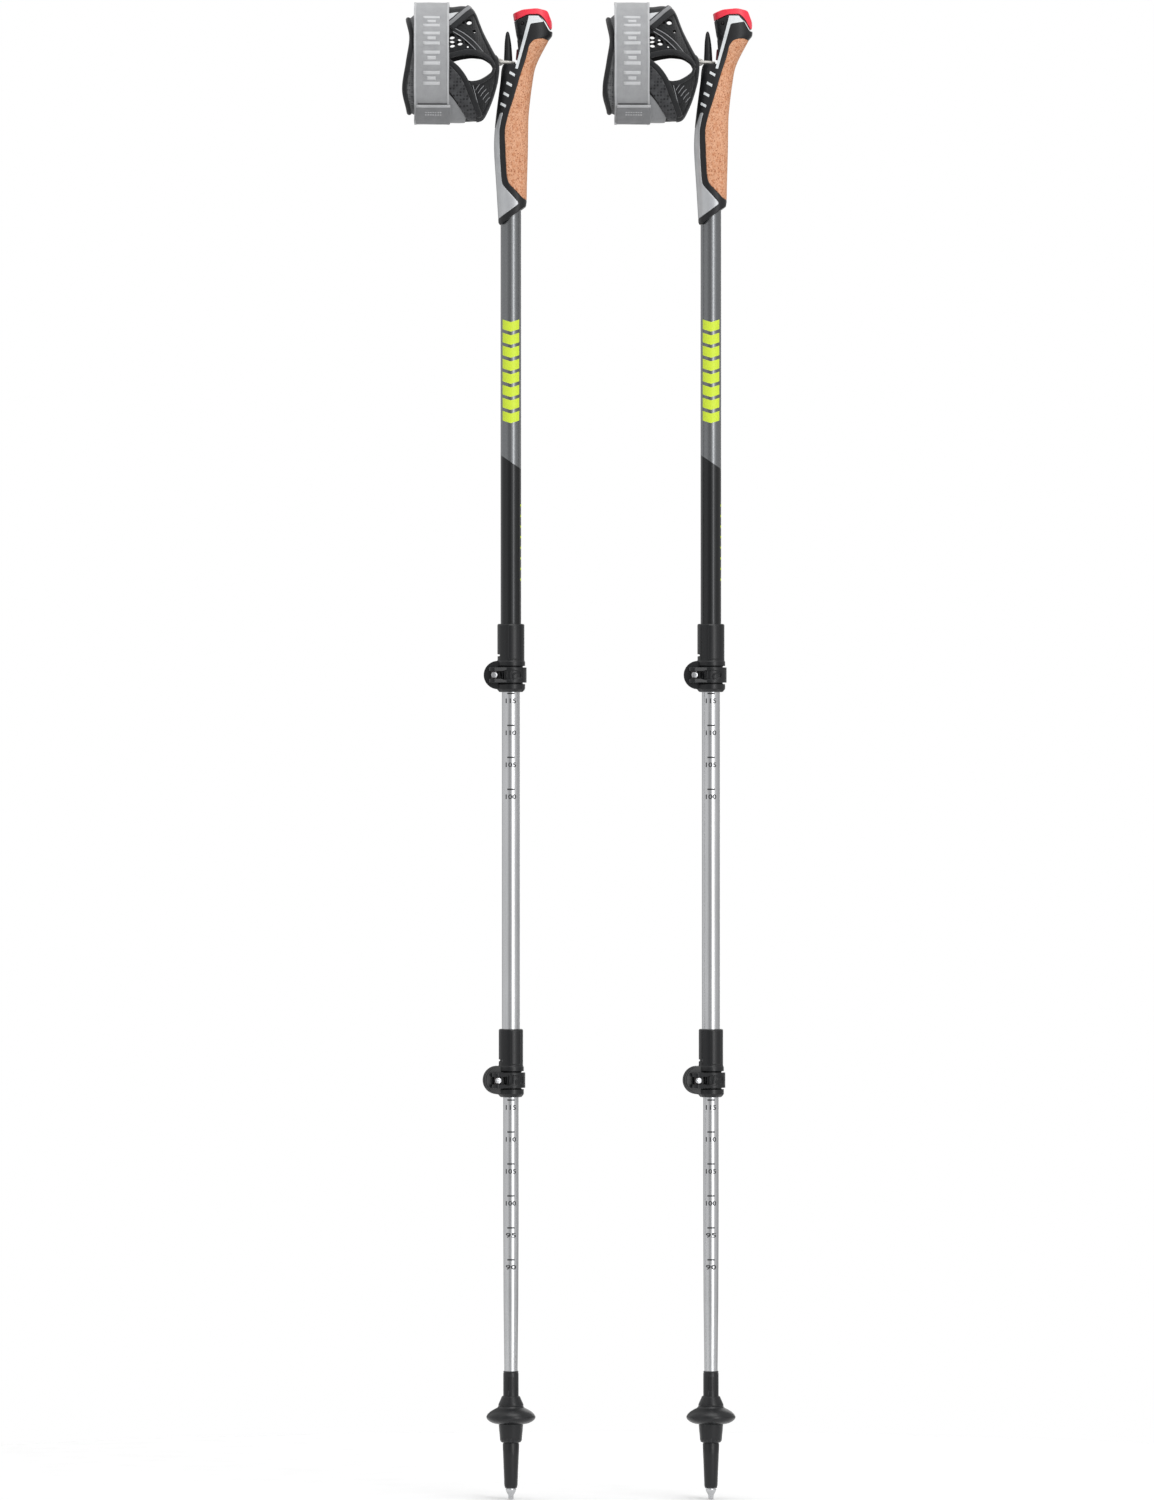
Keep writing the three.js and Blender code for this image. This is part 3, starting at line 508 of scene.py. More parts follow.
BAND_EDGE = woven("wrist_selvedge", 190, 162, 0.6)
BAND_MARK = woven("wrist_motif", 200, 186, 0.45)
TAB = woven("tab_webbing", 136, 106, 0.5)
# Painted shadow: a dark woven cloth that stands for the shade just above the wrist tab's fold.
PAINTED_SHADOW = woven("painted_tab_shadow", 108, 84, 0.5)
TAPE = woven("black_binding", 46, 18, 0.5, 0.9, 0.25)
NET = spacer_mesh("black_net", 34, 12, 1.3)
GREY_MESH = spacer_mesh("grey_spacer_mesh", 118, 54, 1.7)
LINING = woven("pale_lining", 214, 188, 0.8)
LINING_GREY = woven("grey_lining", 150, 122, 0.8)
PAD = spacer_mesh("pad_mesh", 68, 24, 2.6)
PALE_THREAD = ink("pale_thread", (150, 151, 154))
LIME = ink("lime_print", (200, 222, 50))
DARK_INK = ink("scale_ink", (40, 41, 43))
GREY_INK = ink("stripe_print", (214, 218, 220))

# -------- camera, light and floor, in metres
# The camera looks level and straight back. It stands away from the left pole's axis, aside to its
# right, and at a height above the tips.
CAMERA = {"away": 8.073, "aside": 0.0512, "height": 0.5805, "lens_mm": 250, "far": 100}
FLOOR_RADIUS = 0.8
FLOOR_DROP = 0.0005
# Where each lamp stands: azimuth in degrees (0 in front, 90 to the right), height above the poles'
# middle, distance, width and height of its panel, and watts.
LAMPS = {
    "key_strip": (30, 0.1, 2.4, 0.5, 2.6, 13),
    "top_soft": (20, 2.6, 0.8, 1.8, 1.8, 22),
    "rear_soft": (165, 0.6, 2.6, 1.4, 2.2, 10),
}


def make_camera():
    camera = added("camera", bpy.data.cameras.new("camera"))
    camera.data.lens = CAMERA["lens_mm"]
    camera.data.clip_end = CAMERA["far"]
    camera.location = (axis_x("left") + CAMERA["aside"], -CAMERA["away"], TIP_Z + CAMERA["height"])
    camera.rotation_euler = (math.radians(90), 0, 0)
    bpy.context.scene.camera = camera


def area_light(name, azimuth, height, away, wide, tall, watts):
    """A soft box that looks at the poles' middle."""
    lamp = bpy.data.lights.new(name, "AREA")
    lamp.shape = "RECTANGLE"
    lamp.size = wide
    lamp.size_y = tall
    lamp.energy = watts
    light = added(name, lamp)
    middle = (cad_low + cad_high) / 2
    angle = math.radians(azimuth)
    light.location = middle + Vector((math.sin(angle) * away, -math.cos(angle) * away, height))
    light.rotation_euler = (middle - light.location).to_track_quat("-Z", "Y").to_euler()


# The room's brightness, as the poles see it: azimuth in degrees (0 in front, 90 to the right), grey.
ROOM = [
    (-180, 0.22), (-152, 0.28), (-138, 0.8), (-45, 0.9), (-24, 0.5), (2, 0.5), (14, 1.5), (44, 1.5),
    (58, 0.78), (120, 0.6), (150, 0.3), (180, 0.22),
]
ROOM_BY_HEIGHT = [(-1, 0.6), (0, 0.95), (1, 1.3)]


def grey_ramp(tree, value, stops):
    """A grey for each value, between the lowest and the highest of (value, grey) stops."""
    low, high = stops[0][0], stops[-1][0]
    scaled = add_node(tree, "MapRange", {"From Min": low, "From Max": high, "Value": value})
    greys = [((key - low) / (high - low), (grey, grey, grey, 1)) for key, grey in stops]
    return add_ramp(tree, scaled.outputs["Result"], greys)


def make_world():
    """White to the camera; to the poles a room with a bright strip at the right front and a dim rear."""
    world = bpy.data.worlds.new("studio")
    bpy.context.scene.world = world
    world.use_nodes = True
    tree = world.node_tree
    look = add_node(tree, "TexCoord").outputs["Generated"]
    split = add_node(tree, "SeparateXYZ", {"Vector": look}).outputs
    forward = add_node(tree, "Math", {0: split["Y"], 1: -1}, operation="MULTIPLY").outputs[0]
    azimuth = add_node(tree, "Math", {0: split["X"], 1: forward}, operation="ARCTAN2").outputs[0]
    degrees = add_node(tree, "Math", {0: azimuth}, operation="DEGREES").outputs[0]
    round_about = grey_ramp(tree, degrees, ROOM)
    up_and_down = grey_ramp(tree, split["Z"], ROOM_BY_HEIGHT)
    room = {"Fac": 1, "Color1": round_about, "Color2": up_and_down}
    both = add_node(tree, "MixRGB", room, blend_type="MULTIPLY").outputs["Color"]
    shade = tree.nodes["Background"]
    tree.links.new(both, shade.inputs["Color"])
    white = add_node(tree, "Background", {"Color": (1, 1, 1, 1)})
    seen = add_node(tree, "LightPath").outputs["Is Camera Ray"]
    mix = {"Fac": seen, 1: shade.outputs["Background"], 2: white.outputs["Background"]}
    mix = add_node(tree, "MixShader", mix)
    tree.links.new(mix.outputs["Shader"], tree.nodes["World Output"].inputs["Surface"])


def make_floor():
    """A thin pale disc under the tips."""
    ring = [(x, y, 0) for x, y in ellipse(FLOOR_RADIUS, FLOOR_RADIUS, 128)]
    mesh = mesh_of("floor", ring, [tuple(range(len(ring)))])
    finish = Finish("pale_floor", (250, 250, 250), 0.9)
    finish.colour(finish.ramp(finish.noise(40, 4), [(0.3, (249, 249, 249)), (0.7, (253, 253, 253))]))
    mesh.materials.append(finish.material)
    floor = added("floor", mesh)
    middle = (cad_low + cad_high) / 2
    floor.location = (middle.x, middle.y, TIP_Z - FLOOR_DROP)


make_camera()
make_world()
make_floor()
for lamp_name, lamp_place in LAMPS.items():
    area_light(lamp_name, *lamp_place)
bpy.context.scene.view_settings.view_transform = "Standard"

# -------- printing wrapped round a tube
PRINT_PROUD = 0.06
PRINT_EDGE = 0.7


def wrapped(mesh, radius_at, height):
    """Cuts a flat print, drawn in x and y, into short edges and bends it round the pole's front."""
    work = bmesh.new()
    work.from_mesh(mesh)
    bmesh.ops.triangulate(work, faces=work.faces)
    for _ in range(4):
        long_edges = [edge for edge in work.edges if edge.calc_length() > PRINT_EDGE]
        if long_edges:
            bmesh.ops.subdivide_edges(work, edges=long_edges, cuts=1)
            bmesh.ops.triangulate(work, faces=work.faces)
    for vert in work.verts:
        across, up, out = vert.co
        tube = radius_at(height + up)
        reach = tube + (PRINT_PROUD if out > 0 else -PRINT_PROUD)
        vert.co = (reach * math.sin(across / tube), -reach * math.cos(across / tube), height + up)
    work.to_mesh(mesh)
    work.free()
    return mesh


def flat_print(outline):
    """A print of one flat outline, as (across, up)."""
    return slab(outline, -0.5, 0.5, "z")


def number_print(text, tall, wide):
    curve = bpy.data.curves.new("number", "FONT")
    curve.body = text
    curve.align_x = "CENTER"
    curve.extrude = 0.5
    curve.offset = 0.02
    curve.resolution_u = 3
    label = added("number", curve)
    graph = bpy.context.evaluated_depsgraph_get()
    graph.update()
    mesh = bpy.data.meshes.new_from_object(label.evaluated_get(graph))
    bpy.data.objects.remove(label)
    xs = [vert.co.x for vert in mesh.vertices]
    ys = [vert.co.y for vert in mesh.vertices]
    across = wide / (max(xs) - min(xs))
    up = tall / (max(ys) - min(ys))
    scale = Matrix.Diagonal((across, up, 1, 1))
    return moved(mesh, scale @ Matrix.Translation((-(max(xs) + min(xs)) / 2, -min(ys), 0)))


# -------- tubes
UPPER = {"radius": 8, "bore": 7.3, "bottom": 630.5, "top": 1062}
MIDDLE = {"radius": 7, "bore": 6.3, "bottom": 316.6, "top": 760}
LOWER = [(5.1, 86), (5.1, 101), (5.7, 154), (6, 230), (6, 447)]
LOWER_WALL = 0.7
LACQUER_EDGE = {"height": 803.5, "slope": 0.69}
TICK = {"wide": 5.8, "tall": 1.1, "step": 24.75}
LABEL = {"highest": 115, "interval": 5, "tall": 3.7, "wide": 8.6, "drop": 7.6}
# Each scale's highest tick and its number of ticks.
SCALES = {"middle": (624.3, 4), "lower": (309.4, 6)}
LIME_MARKS = {"top": 914, "step": 20.2, "tall": 17.6, "half": 7.4, "notch": 2.2}
LIME_SQUARES = {"top": 770, "step": 8.2, "across": 9.4, "half": 0.9}


def tube_loop(outer, wall):
    """The closed section of a tube, from its outer points, with its two ends' edges rounded."""
    edge = 0.2
    (low_radius, low), (high_radius, high) = outer[0], outer[-1]
    inner = [(radius - wall, height) for radius, height in outer]
    loop = [(low_radius - edge, low), (low_radius, low + edge)] + outer[1:-1]
    loop += [(high_radius, high - edge), (high_radius - edge, high)]
    loop += [(inner[-1][0] + edge, high), (inner[-1][0], high - edge)] + inner[-2:0:-1]
    return loop + [(inner[0][0], low + edge), (inner[0][0] + edge, low)]


def straight_tube(tube):
    ends = [(tube["radius"], tube["bottom"]), (tube["radius"], tube["top"])]
    return tube_loop(ends, tube["radius"] - tube["bore"])


def lower_radius(height):
    return next(
        a[0] + (b[0] - a[0]) * (height - a[1]) / (b[1] - a[1])
        for a, b in zip(LOWER, LOWER[1:]) if height <= b[1]
    )


def bushing_mesh(top, bore, next_bore):
    """A plug with ribs on the lip that rides in the next tube's bore."""
    profile = [(0, top - 15), (bore - 0.9, top - 15), (bore - 0.4, top - 14.4), (bore - 0.4, top + 0.4)]
    for rib in range(3):
        low = top + 0.5 + 2 * rib
        profile += [(next_bore - 0.7, low), (next_bore - 0.25, low + 0.3), (next_bore - 0.25, low + 1.3)]
        profile += [(next_bore - 0.7, low + 1.6)]
    return lathe(profile + [(next_bore - 1.5, top + 6.2), (0, top + 6.2)])


def scale_print(first, count, radius_at):
    """Length marks: evenly spaced ticks down a tube, each with its number just below it."""
    marks = []
    for step in range(count):
        height = first - TICK["step"] * step
        half, thick = TICK["wide"] / 2, TICK["tall"] / 2
        tick = flat_print([(-half, -thick), (half, -thick), (half, thick), (-half, thick)])
        marks.append(wrapped(tick, radius_at, height))
        number = str(LABEL["highest"] - LABEL["interval"] * step)
        label = number_print(number, LABEL["tall"], LABEL["wide"])
        marks.append(wrapped(label, radius_at, height - LABEL["drop"]))
    return joined(*marks)


def lime_print():
    """Plain arrow-shaped blocks down the upper tube, and a row of small squares further down."""
    marks = []
    half, tall, notch = LIME_MARKS["half"], LIME_MARKS["tall"], LIME_MARKS["notch"]
    for step in range(4):
        base = LIME_MARKS["top"] - LIME_MARKS["step"] * step - tall
        for low, high in ((0, 0.42), (0.58, 1)):
            bottom, top = tall * low, tall * high
            marks.append((base, [(-half, bottom), (0, bottom - notch), (half, bottom), (half, top),
                                 (0, top - notch), (-half, top)]))
    left, half = LIME_SQUARES["across"], LIME_SQUARES["half"]
    for step in range(8):
        right = left + (1.6 if step % 3 else 2.6)
        base = LIME_SQUARES["top"] - LIME_SQUARES["step"] * step
        marks.append((base, [(left, -half), (right, -half), (right, half), (left, half)]))
    return joined(*[wrapped(flat_print(outline), lambda height: UPPER["radius"], base)
                    for base, outline in marks])


def make_tubes():
    """The three tubes, the bushings between them, and everything printed on them."""
    lacquer = painted_tube(LACQUER_EDGE["height"], LACQUER_EDGE["slope"])
    tubes = {
        "upper": (straight_tube(UPPER), lacquer, "grey_tube"),
        "middle": (straight_tube(MIDDLE), SILVER_TUBE, "silver_tube"),
        "lower": (tube_loop(LOWER, LOWER_WALL), SILVER_TUBE, "silver_tube"),
    }
    for name, (profile, material, slot) in tubes.items():
        node, body = f"{name}_tube", f"{name}_section"
        place(lathe(profile, 128), node + "_fine", material, body, slot, [node], sharp=30)
    bushings = {
        "middle": bushing_mesh(MIDDLE["top"], MIDDLE["bore"], UPPER["bore"]),
        "lower": bushing_mesh(LOWER[-1][1], LOWER[0][0], MIDDLE["bore"]),
    }
    for name, mesh in bushings.items():
        node, body = f"{name}_bushing", f"{name}_section"
        place(mesh, node + "_fine", BLACK, body, "black_plastic", [node], sharp=40)
    scales = {
        "middle": scale_print(*SCALES["middle"], lambda height: MIDDLE["radius"]),
        "lower": scale_print(*SCALES["lower"], lower_radius),
    }
    for name, mesh in scales.items():
        place(mesh, f"{name}_scale", DARK_INK, f"{name}_section", "black_plastic")
    place(lime_print(), "lime_marks", LIME, "upper_section", "grey_tube")


make_tubes()

# -------- clamps
# A clamp's height above the tip's end and its turn in degrees; the radii of its sleeve and of the
# outer and inner tubes that it holds; and the body that its collar rides on.
CLAMPS = {
    "upper": {"height": 638.6, "turn": 0, "sleeve": 10.5, "outer": 8, "inner": 7,
              "collar": "upper_section"},
    "lower": {"height": 324.7, "turn": 12, "sleeve": 9.45, "outer": 7, "inner": 6,
              "collar": "middle_section"},
}
# Where the cam's centre is, as (x, y) from the pole's axis.
CAM = (-12.6, -9.6)
CAM_RADIUS = 4.3
EAR_CENTRE = -10.1
EAR_RADIUS = 11
GAP = 0.3
SCREW_ROOM = 1.7
SCREW_THREAD = {"turns": 24, "pitch": 0.35}
# The small round mark on the lever's face, as (x, z) from the clamp's middle.
BUTTON_SPOT = (4.3, -1.1)


def arc(radius, start, end, steps, centre=(0, 0)):
    angles = [math.radians(start + (end - start) * i / steps) for i in range(steps + 1)]
    return [(centre[0] + radius * math.cos(a), centre[1] + radius * math.sin(a)) for a in angles]


def collar_mesh(clamp):
    """A split sleeve with a raised wrap and two D-shaped ears, open for the tube and the screw."""
    sleeve, outer, inner = clamp["sleeve"], clamp["outer"] + GAP, clamp["inner"] + GAP
    core, flange = sleeve - 1.2, sleeve + 0.6
    body = lathe([
        (inner, -13.2), (inner + 1.5, -13.2), (inner + 2.2, -12.8), (flange - 0.3, -11.2),
        (flange, -10.6), (flange, -7), (core, -7), (core, 7), (flange, 7), (flange, 10.3),
        (flange - 0.5, 10.9), (sleeve, 11.6), (sleeve, 38.9), (sleeve - 0.6, 39.6), (outer, 39.6),
        (outer, -8.4), (inner, -8.4),
    ], 96)
    reach = math.degrees(math.acos((-7 - EAR_CENTRE) / EAR_RADIUS))
    ear = arc(EAR_RADIUS, reach, 360 - reach, 40, (EAR_CENTRE, 0))
    low, high = 12.4, 38.4
    wrap = boolean(
        slab(fillet([(-1.9, low), (6, low), (6, high), (-1.9, high)], 0.5), -14, -4),
        "INTERSECT", round_bar(sleeve + 0.5, 0, 60, (0, 0), "z", 96),
    )
    collar = boolean(body, "UNION", slab(ear, -5, -1), slab(list(ear), 1, 7), wrap)
    return boolean(
        collar, "DIFFERENCE",
        round_bar(outer, -8.4, 60, (0, 0), "z", 96),
        round_bar(inner, -20, 0, (0, 0), "z", 96),
        block((-30, -1, -20), (-clamp["inner"] + 2, 1, 15)),
        block((-30, -6, 14.6), (-clamp["outer"] - 0.6, 6, 16)),
        round_bar(SCREW_ROOM, -20, 20, (CAM[0], 0)),
    )


def lever_mesh(clamp):
    """A curved lever whose outer face is hollowed, with ribs, round a cam bored for the barrel pin."""
    core, flange = clamp["sleeve"] - 1.2, clamp["sleeve"] + 0.6
    outer, inner = flange + 1.1, core + 0.4
    plan = [(CAM[0], CAM[1] - CAM_RADIUS)] + arc(outer, -105, 5, 60) + arc(inner, 5, -140, 70)
    plan += arc(CAM_RADIUS, 52, 270, 30, CAM)
    body = slab(plan, -5.9, 5.9, "z")
    body = boolean(body, "DIFFERENCE",
                   round_bar(3.1, -10, 10, CAM, "z"), round_bar(7.2, -2.9, 2.9, CAM, "z", 64))
    hollow = slab(fillet([(-8.4, 1.2), (-5, 3.6), (1, 3.9), (8, 2.7), (8, -2.6), (1, -3.9), (-5, -3.9),
                          (-8.4, -2.6)], 1.6), -20, 0)
    hollow = boolean(hollow, "DIFFERENCE", round_bar(outer - 0.75, -9, 9, (0, 0), "z", 96))
    body = boolean(body, "DIFFERENCE", hollow, round_bar(1.9, -20, -outer + 0.9, BUTTON_SPOT))
    ribs = []
    for x in (-7, -4, -1):
        ribs.append(slab([(x, -2.6), (x + 0.7, -2.6), (x + 1.1, 3), (x + 0.4, 3)], -20, 0))
    ring_hole = round_bar(2.2, -21, 1, BUTTON_SPOT)
    ring = boolean(round_bar(2.9, -20, 0, BUTTON_SPOT), "DIFFERENCE", ring_hole)
    rib_skin = boolean(round_bar(outer - 0.25, -8, 8, (0, 0), "z", 96), "DIFFERENCE",
                       round_bar(outer - 1, -9, 9, (0, 0), "z", 96))
    ribs = boolean(joined(*ribs, ring), "INTERSECT", rib_skin)
    return boolean(body, "UNION", ribs)


def screw_mesh():
    """A cross-headed screw through the cam, its axis along y."""
    profile = [(0, -10.2), (1.2, -10.2), (1.4, -9.9)]
    for turn in range(SCREW_THREAD["turns"]):
        height = -9.6 + turn * SCREW_THREAD["pitch"]
        profile += [(1.4, height), (1.22, height + SCREW_THREAD["pitch"] / 2)]
    profile += [(1.4, 0), (1.4, 12.8), (2.3, 12.8), (2.5, 13), (2.5, 13.6)]
    profile += [(2.1, 14.2), (1.2, 14.4), (0, 14.4)]
    screw = moved(lathe(profile, 48), Matrix.Rotation(math.radians(90), 4, "X"))
    level = block((-1.5, -15, -0.28), (1.5, -13.7, 0.28))
    upright = block((-0.28, -15, -1.5), (0.28, -13.7, 1.5))
    screw = boolean(screw, "DIFFERENCE", level, upright)
    return moved(screw, Matrix.Translation((CAM[0], 0, 0)))


def nut_mesh():
    rounding = lathe([(0, 7.3), (2.7, 7.3), (3.1, 7.6), (3.1, 9.5), (2.7, 9.8), (0, 9.8)], 48)
    rounding = moved(rounding, Matrix.Rotation(math.radians(-90), 4, "X"))
    nut = boolean(slab(ellipse(3, 3, 6), 7.3, 9.8), "INTERSECT", rounding)
    nut = boolean(nut, "DIFFERENCE", round_bar(SCREW_ROOM, 5, 12))
    return moved(nut, Matrix.Translation((CAM[0], 0, 0)))


def barrel_mesh():
    profile = [(0, -5.7), (2.4, -5.7), (2.8, -5.3), (2.8, 5.3), (2.4, 5.7), (0, 5.7)]
    pin = moved(lathe(profile, 48), Matrix.Translation((*CAM, 0)))
    return boolean(pin, "DIFFERENCE", round_bar(SCREW_ROOM, -20, 20, (CAM[0], 0)))


def make_clamp(name, clamp):
    """Collar, lever, barrel pin, screw and nut of one clamp."""
    turn = Matrix.Rotation(math.radians(clamp["turn"]), 4, "Z")
    there = Matrix.Translation((0, 0, clamp["height"])) @ turn
    collar, lever = clamp["collar"], f"{name}_lever"
    pieces = {
        "collar": (moulded(collar_mesh(clamp), 0.32, 3), BLACK, collar, "black_plastic", None),
        "lever": (moulded(lever_mesh(clamp), 0.22, 3), BLACK, lever, "black_plastic", None),
        "barrel_pin": (barrel_mesh(), DARK_STEEL, collar, "steel", 30),
        "screw": (screw_mesh(), STEEL, collar, "steel", 30),
        "nut": (nut_mesh(), STEEL, collar, "steel", 30),
    }
    for piece, (mesh, material, body, slot, sharp) in pieces.items():
        node = f"{name}_clamp_{piece}"
        place(moved(mesh, there), node + "_fine", material, body, slot, [node], sharp=sharp)


for clamp_name, clamp_sizes in CLAMPS.items():
    make_clamp(clamp_name, clamp_sizes)

# -------- foot
FERRULE = [
    (0, 25), (2.5, 25), (2.5, 8.6), (4.3, 8.6), (4.7, 8.8), (5.2, 11), (5.5, 20), (6.1, 34), (6.4, 42.6),
    (6, 43.4), (6, 80.2), (5.95, 80.6), (5.95, 97.6), (5.75, 97.9), (5.75, 98.3), (5.95, 98.6),
    (5.7, 99.2), (5.45, 99.2), (5.45, 85.6), (0, 85.6),
]
BASKET = [
    (6.3, 43.8), (7.2, 44), (8, 44.6), (8.5, 46), (8.7, 48.8), (9.1, 53), (9.5, 58.1), (10.4, 58.6),
    (12.4, 58.5), (14.2, 59), (16.6, 60.2), (18.3, 61.7), (19, 63), (18.95, 64.2), (18, 65.9), (16, 67.8),
    (13.2, 69.5), (11, 70.6), (10.1, 71.3), (9.9, 71.9), (9.6, 72.2), (9.85, 72.6), (9.4, 74.2),
    (8.4, 76.4), (7.5, 78.4), (7.15, 79.4), (6.8, 79.8), (6.3, 79.8),
]
STEEL_TIP = [
    (0, 1), (1.2, 0.5), (1.7, 0), (1.95, 0.3), (2.05, 0.8), (2.05, 3), (2.3, 3.5), (2.5, 3.9), (3.2, 5),
    (4.05, 7), (4.1, 7.6), (3.9, 8.2), (2.2, 8.2), (2.2, 24.4), (0, 24.4),
]


def make_foot():
    """The ferrule with its recessed panel, the notched basket and the fluted steel tip."""
    panel = slab(fillet([(-2.2, 84), (2.2, 84), (2.2, 95), (-2.2, 95)], 0.8), -8, -2)
    panel = boolean(panel, "DIFFERENCE", round_bar(5.75, 80, 100, (0, 0), "z", 96))
    ferrule = boolean(lathe(FERRULE, 96), "DIFFERENCE", panel)
    place(ferrule, "tip_ferrule_fine", BLACK, "lower_section", "black_plastic", ["tip_ferrule"],
          sharp=35)
    basket = lathe(BASKET, 128)
    notches = []
    for turn in range(16):
        notch = round_bar(0.5, 40, 47.5, (8.75, 0), "z", 12)
        notches.append(moved(notch, Matrix.Rotation(2 * math.pi * turn / 16, 4, "Z")))
    basket = boolean(basket, "DIFFERENCE", joined(*notches))
    place(basket, "basket_fine", BLACK, "basket_body", "black_plastic", ["basket"], sharp=50)
    flutes = []
    for turn in range(8):
        flute = round_bar(0.42, -1, 2.6, (2.1, 0), "z", 12)
        flutes.append(moved(flute, Matrix.Rotation(math.pi * turn / 4, 4, "Z")))
    tip = boolean(lathe(STEEL_TIP, 64), "DIFFERENCE", joined(*flutes))
    place(tip, "steel_tip_fine", STEEL, "lower_section", "steel", ["steel_tip"], sharp=35)


make_foot()

# -------- grip
# Level sections of the grip: height, back, front and half depth.
GRIP = [
    (984, -9.4, 12.0, 11.4), (1016, -11.3, 12.4, 13.0), (1046, -13.1, 13.2, 14.2),
    (1061, -12.6, 13.4, 14.0), (1074, -11.3, 13.9, 13.6), (1098, -8.2, 16.8, 12.8),
    (1111, -6.3, 19.6, 12.5), (1130, 4.8, 29.2, 13.4), (1134, 4.2, 32.0, 13.6),
    (1144, 2.6, 32.0, 13.4), (1158, 0.4, 32.0, 12.4),
]
GRIP_ROUNDING = 2.4
# Further than the grip reaches to either side.
GRIP_FAR = 20
GRIP_SKIN = 3.2
CORE_BOTTOM, CORE_TOP = 1018, 1106
CORK_OUTLINE = [
    (40, 1129.8), (29, 1130), (24.4, 1131.5), (17.3, 1130.2), (14, 1125.8), (11.9, 1116.5),
    (7.5, 1103.6), (1.9, 1084.2), (-1.2, 1075.2), (-4.3, 1063.5), (-4.7, 1058), (-4, 1039.3),
    (-3.3, 1025.4), (-1.9, 1019.2), (3.6, 1013.6), (10.5, 1006.4), (40, 1006),
]
PANEL_OUTLINE = [
    (-8.4, 1073.8), (-5.7, 1073.8), (-7.1, 1069.7), (-8.9, 1060), (-8.9, 1053), (-8.4, 1039.3),
    (-7.4, 1024), (-6.7, 1018.5), (-4, 1015.1), (5.7, 1004.7), (6, 1003), (3.6, 1001.3),
    (-9.5, 991.9), (-30, 991.9), (-30, 1061), (-12.4, 1061),
]
BELOW_GRIP = [
    (-40, 970), (-40, 989.2), (-9.8, 989.2), (-8.8, 987.7), (-7.4, 987.7), (9.2, 999.9), (11.6, 1001.6),
    (12.1, 1004.5), (40, 1004.5), (40, 970),
]
ABOVE_HEAD = [
    (-30, 1144.6), (2.9, 1144.7), (13, 1149), (21.6, 1149), (25.2, 1145.1), (29.1, 1138.2),
    (30.4, 1136.9), (50, 1136.9), (50, 1170), (-30, 1170),
]
NOTCH_OUTLINE = [(-30, 1111.5), (5.4, 1111.5), (5.5, 1124), (4.8, 1131), (-30, 1131)]
HORN = [
    (1104, -5.4, 1.2, 3.7), (1114, -5.5, 1.2, 3.4), (1122, -5.2, 0.8, 3), (1129, -4.9, 0.1, 2.6),
    (1134, -4.3, -0.8, 2), (1136.6, -3.7, -1.5, 1.2), (1137.4, -3, -2.2, 0.4),
]
BUTTON_OUTLINE = [
    (0.5, 1150.4), (1.2, 1145.3), (2.9, 1145.3), (13, 1149.8), (21.9, 1150.2), (26.3, 1146),
    (30.4, 1138.5), (31.7, 1138.9), (32.1, 1143.4), (28.4, 1152.8), (20.2, 1154.6), (9, 1153.6),
]
PIVOT = (8.9, 1142.9)
INLAY = {"proud": 0.14, "deep": 0.5}
SPRING = {"x": 18, "bottom": 1141.6, "top": 1148.7, "radius": 2.2, "wire": 0.45, "turns": 3}
STRIPE = [
    (13.9, 1148.8), (21.4, 1148.7), (24.9, 1144.9), (25.1, 1144.1), (16, 1142.7), (15, 1141.9),
    (5.3, 1107.6), (3.4, 1108.1), (13.1, 1145),
]
CHANNEL = ((-1, -4, 1114.6), (10.6, 4, 1123.8))
LUG_ROOM = ((5.6, -3.6, 1138.6), (12.4, 3.6, 1155))
LATCH = [(3.7, 1115.2), (8, 1115.2), (8, 1123.4), (4.4, 1123.4)]


def grown(points, distance):
    """The outline pushed outwards by a distance, or inwards if it is negative."""
    count = len(points)
    area = sum(points[i - 1][0] * points[i][1] - points[i][0] * points[i - 1][1] for i in range(count))
    turn = 1 if area > 0 else -1
    made = []
    for i, here in enumerate(points):
        before = (Vector(here) - Vector(points[i - 1])).normalized()
        after = (Vector(points[(i + 1) % count]) - Vector(here)).normalized()
        normal = Vector((before.y + after.y, -before.x - after.x)) * turn
        normal.normalize()
        lean = max(normal.dot(Vector((before.y, -before.x)) * turn), 0.4)
        made.append(tuple(Vector(here) + normal * distance / lean))
    return made


def level_skin(rows, rounding, inset=0.0, step=1.6, sides=72, low=None, high=None):
    """A closed skin through level sections, each a rounded rectangle."""
    low = rows[0][0] if low is None else low
    high = rows[-1][0] if high is None else high
    rings = max(int((high - low) / step), 2)
    points = []
    for i in range(rings + 1):
        height = low + (high - low) * i / rings
        back, front, deep = hermite(rows, height)
        half, centre = (front - back) / 2 - inset, (front + back) / 2
        for j in range(sides):
            angle = 2 * math.pi * j / sides
            c, s = math.cos(angle), math.sin(angle)
            x = centre + half * math.copysign(abs(c) ** (2 / rounding), c)
            y = (deep - inset) * math.copysign(abs(s) ** (2 / rounding), s)
            points.append((x, y, height))
    return mesh_of("skin", points, grid_faces(rings + 1, sides))


def side_cut(outline, radius=0.0, growth=0.0):
    shape = fillet(outline, radius) if radius else outline
    return slab(grown(shape, growth) if growth else shape, -GRIP_FAR, GRIP_FAR)


def core_room():
    return level_skin(GRIP, GRIP_ROUNDING, GRIP_SKIN - GAP, low=CORE_BOTTOM - GAP, high=CORE_TOP + GAP)


def tube_room():
    return round_bar(UPPER["radius"] + GAP, 960, UPPER["top"] + GAP, (0, 0), "z", 64)


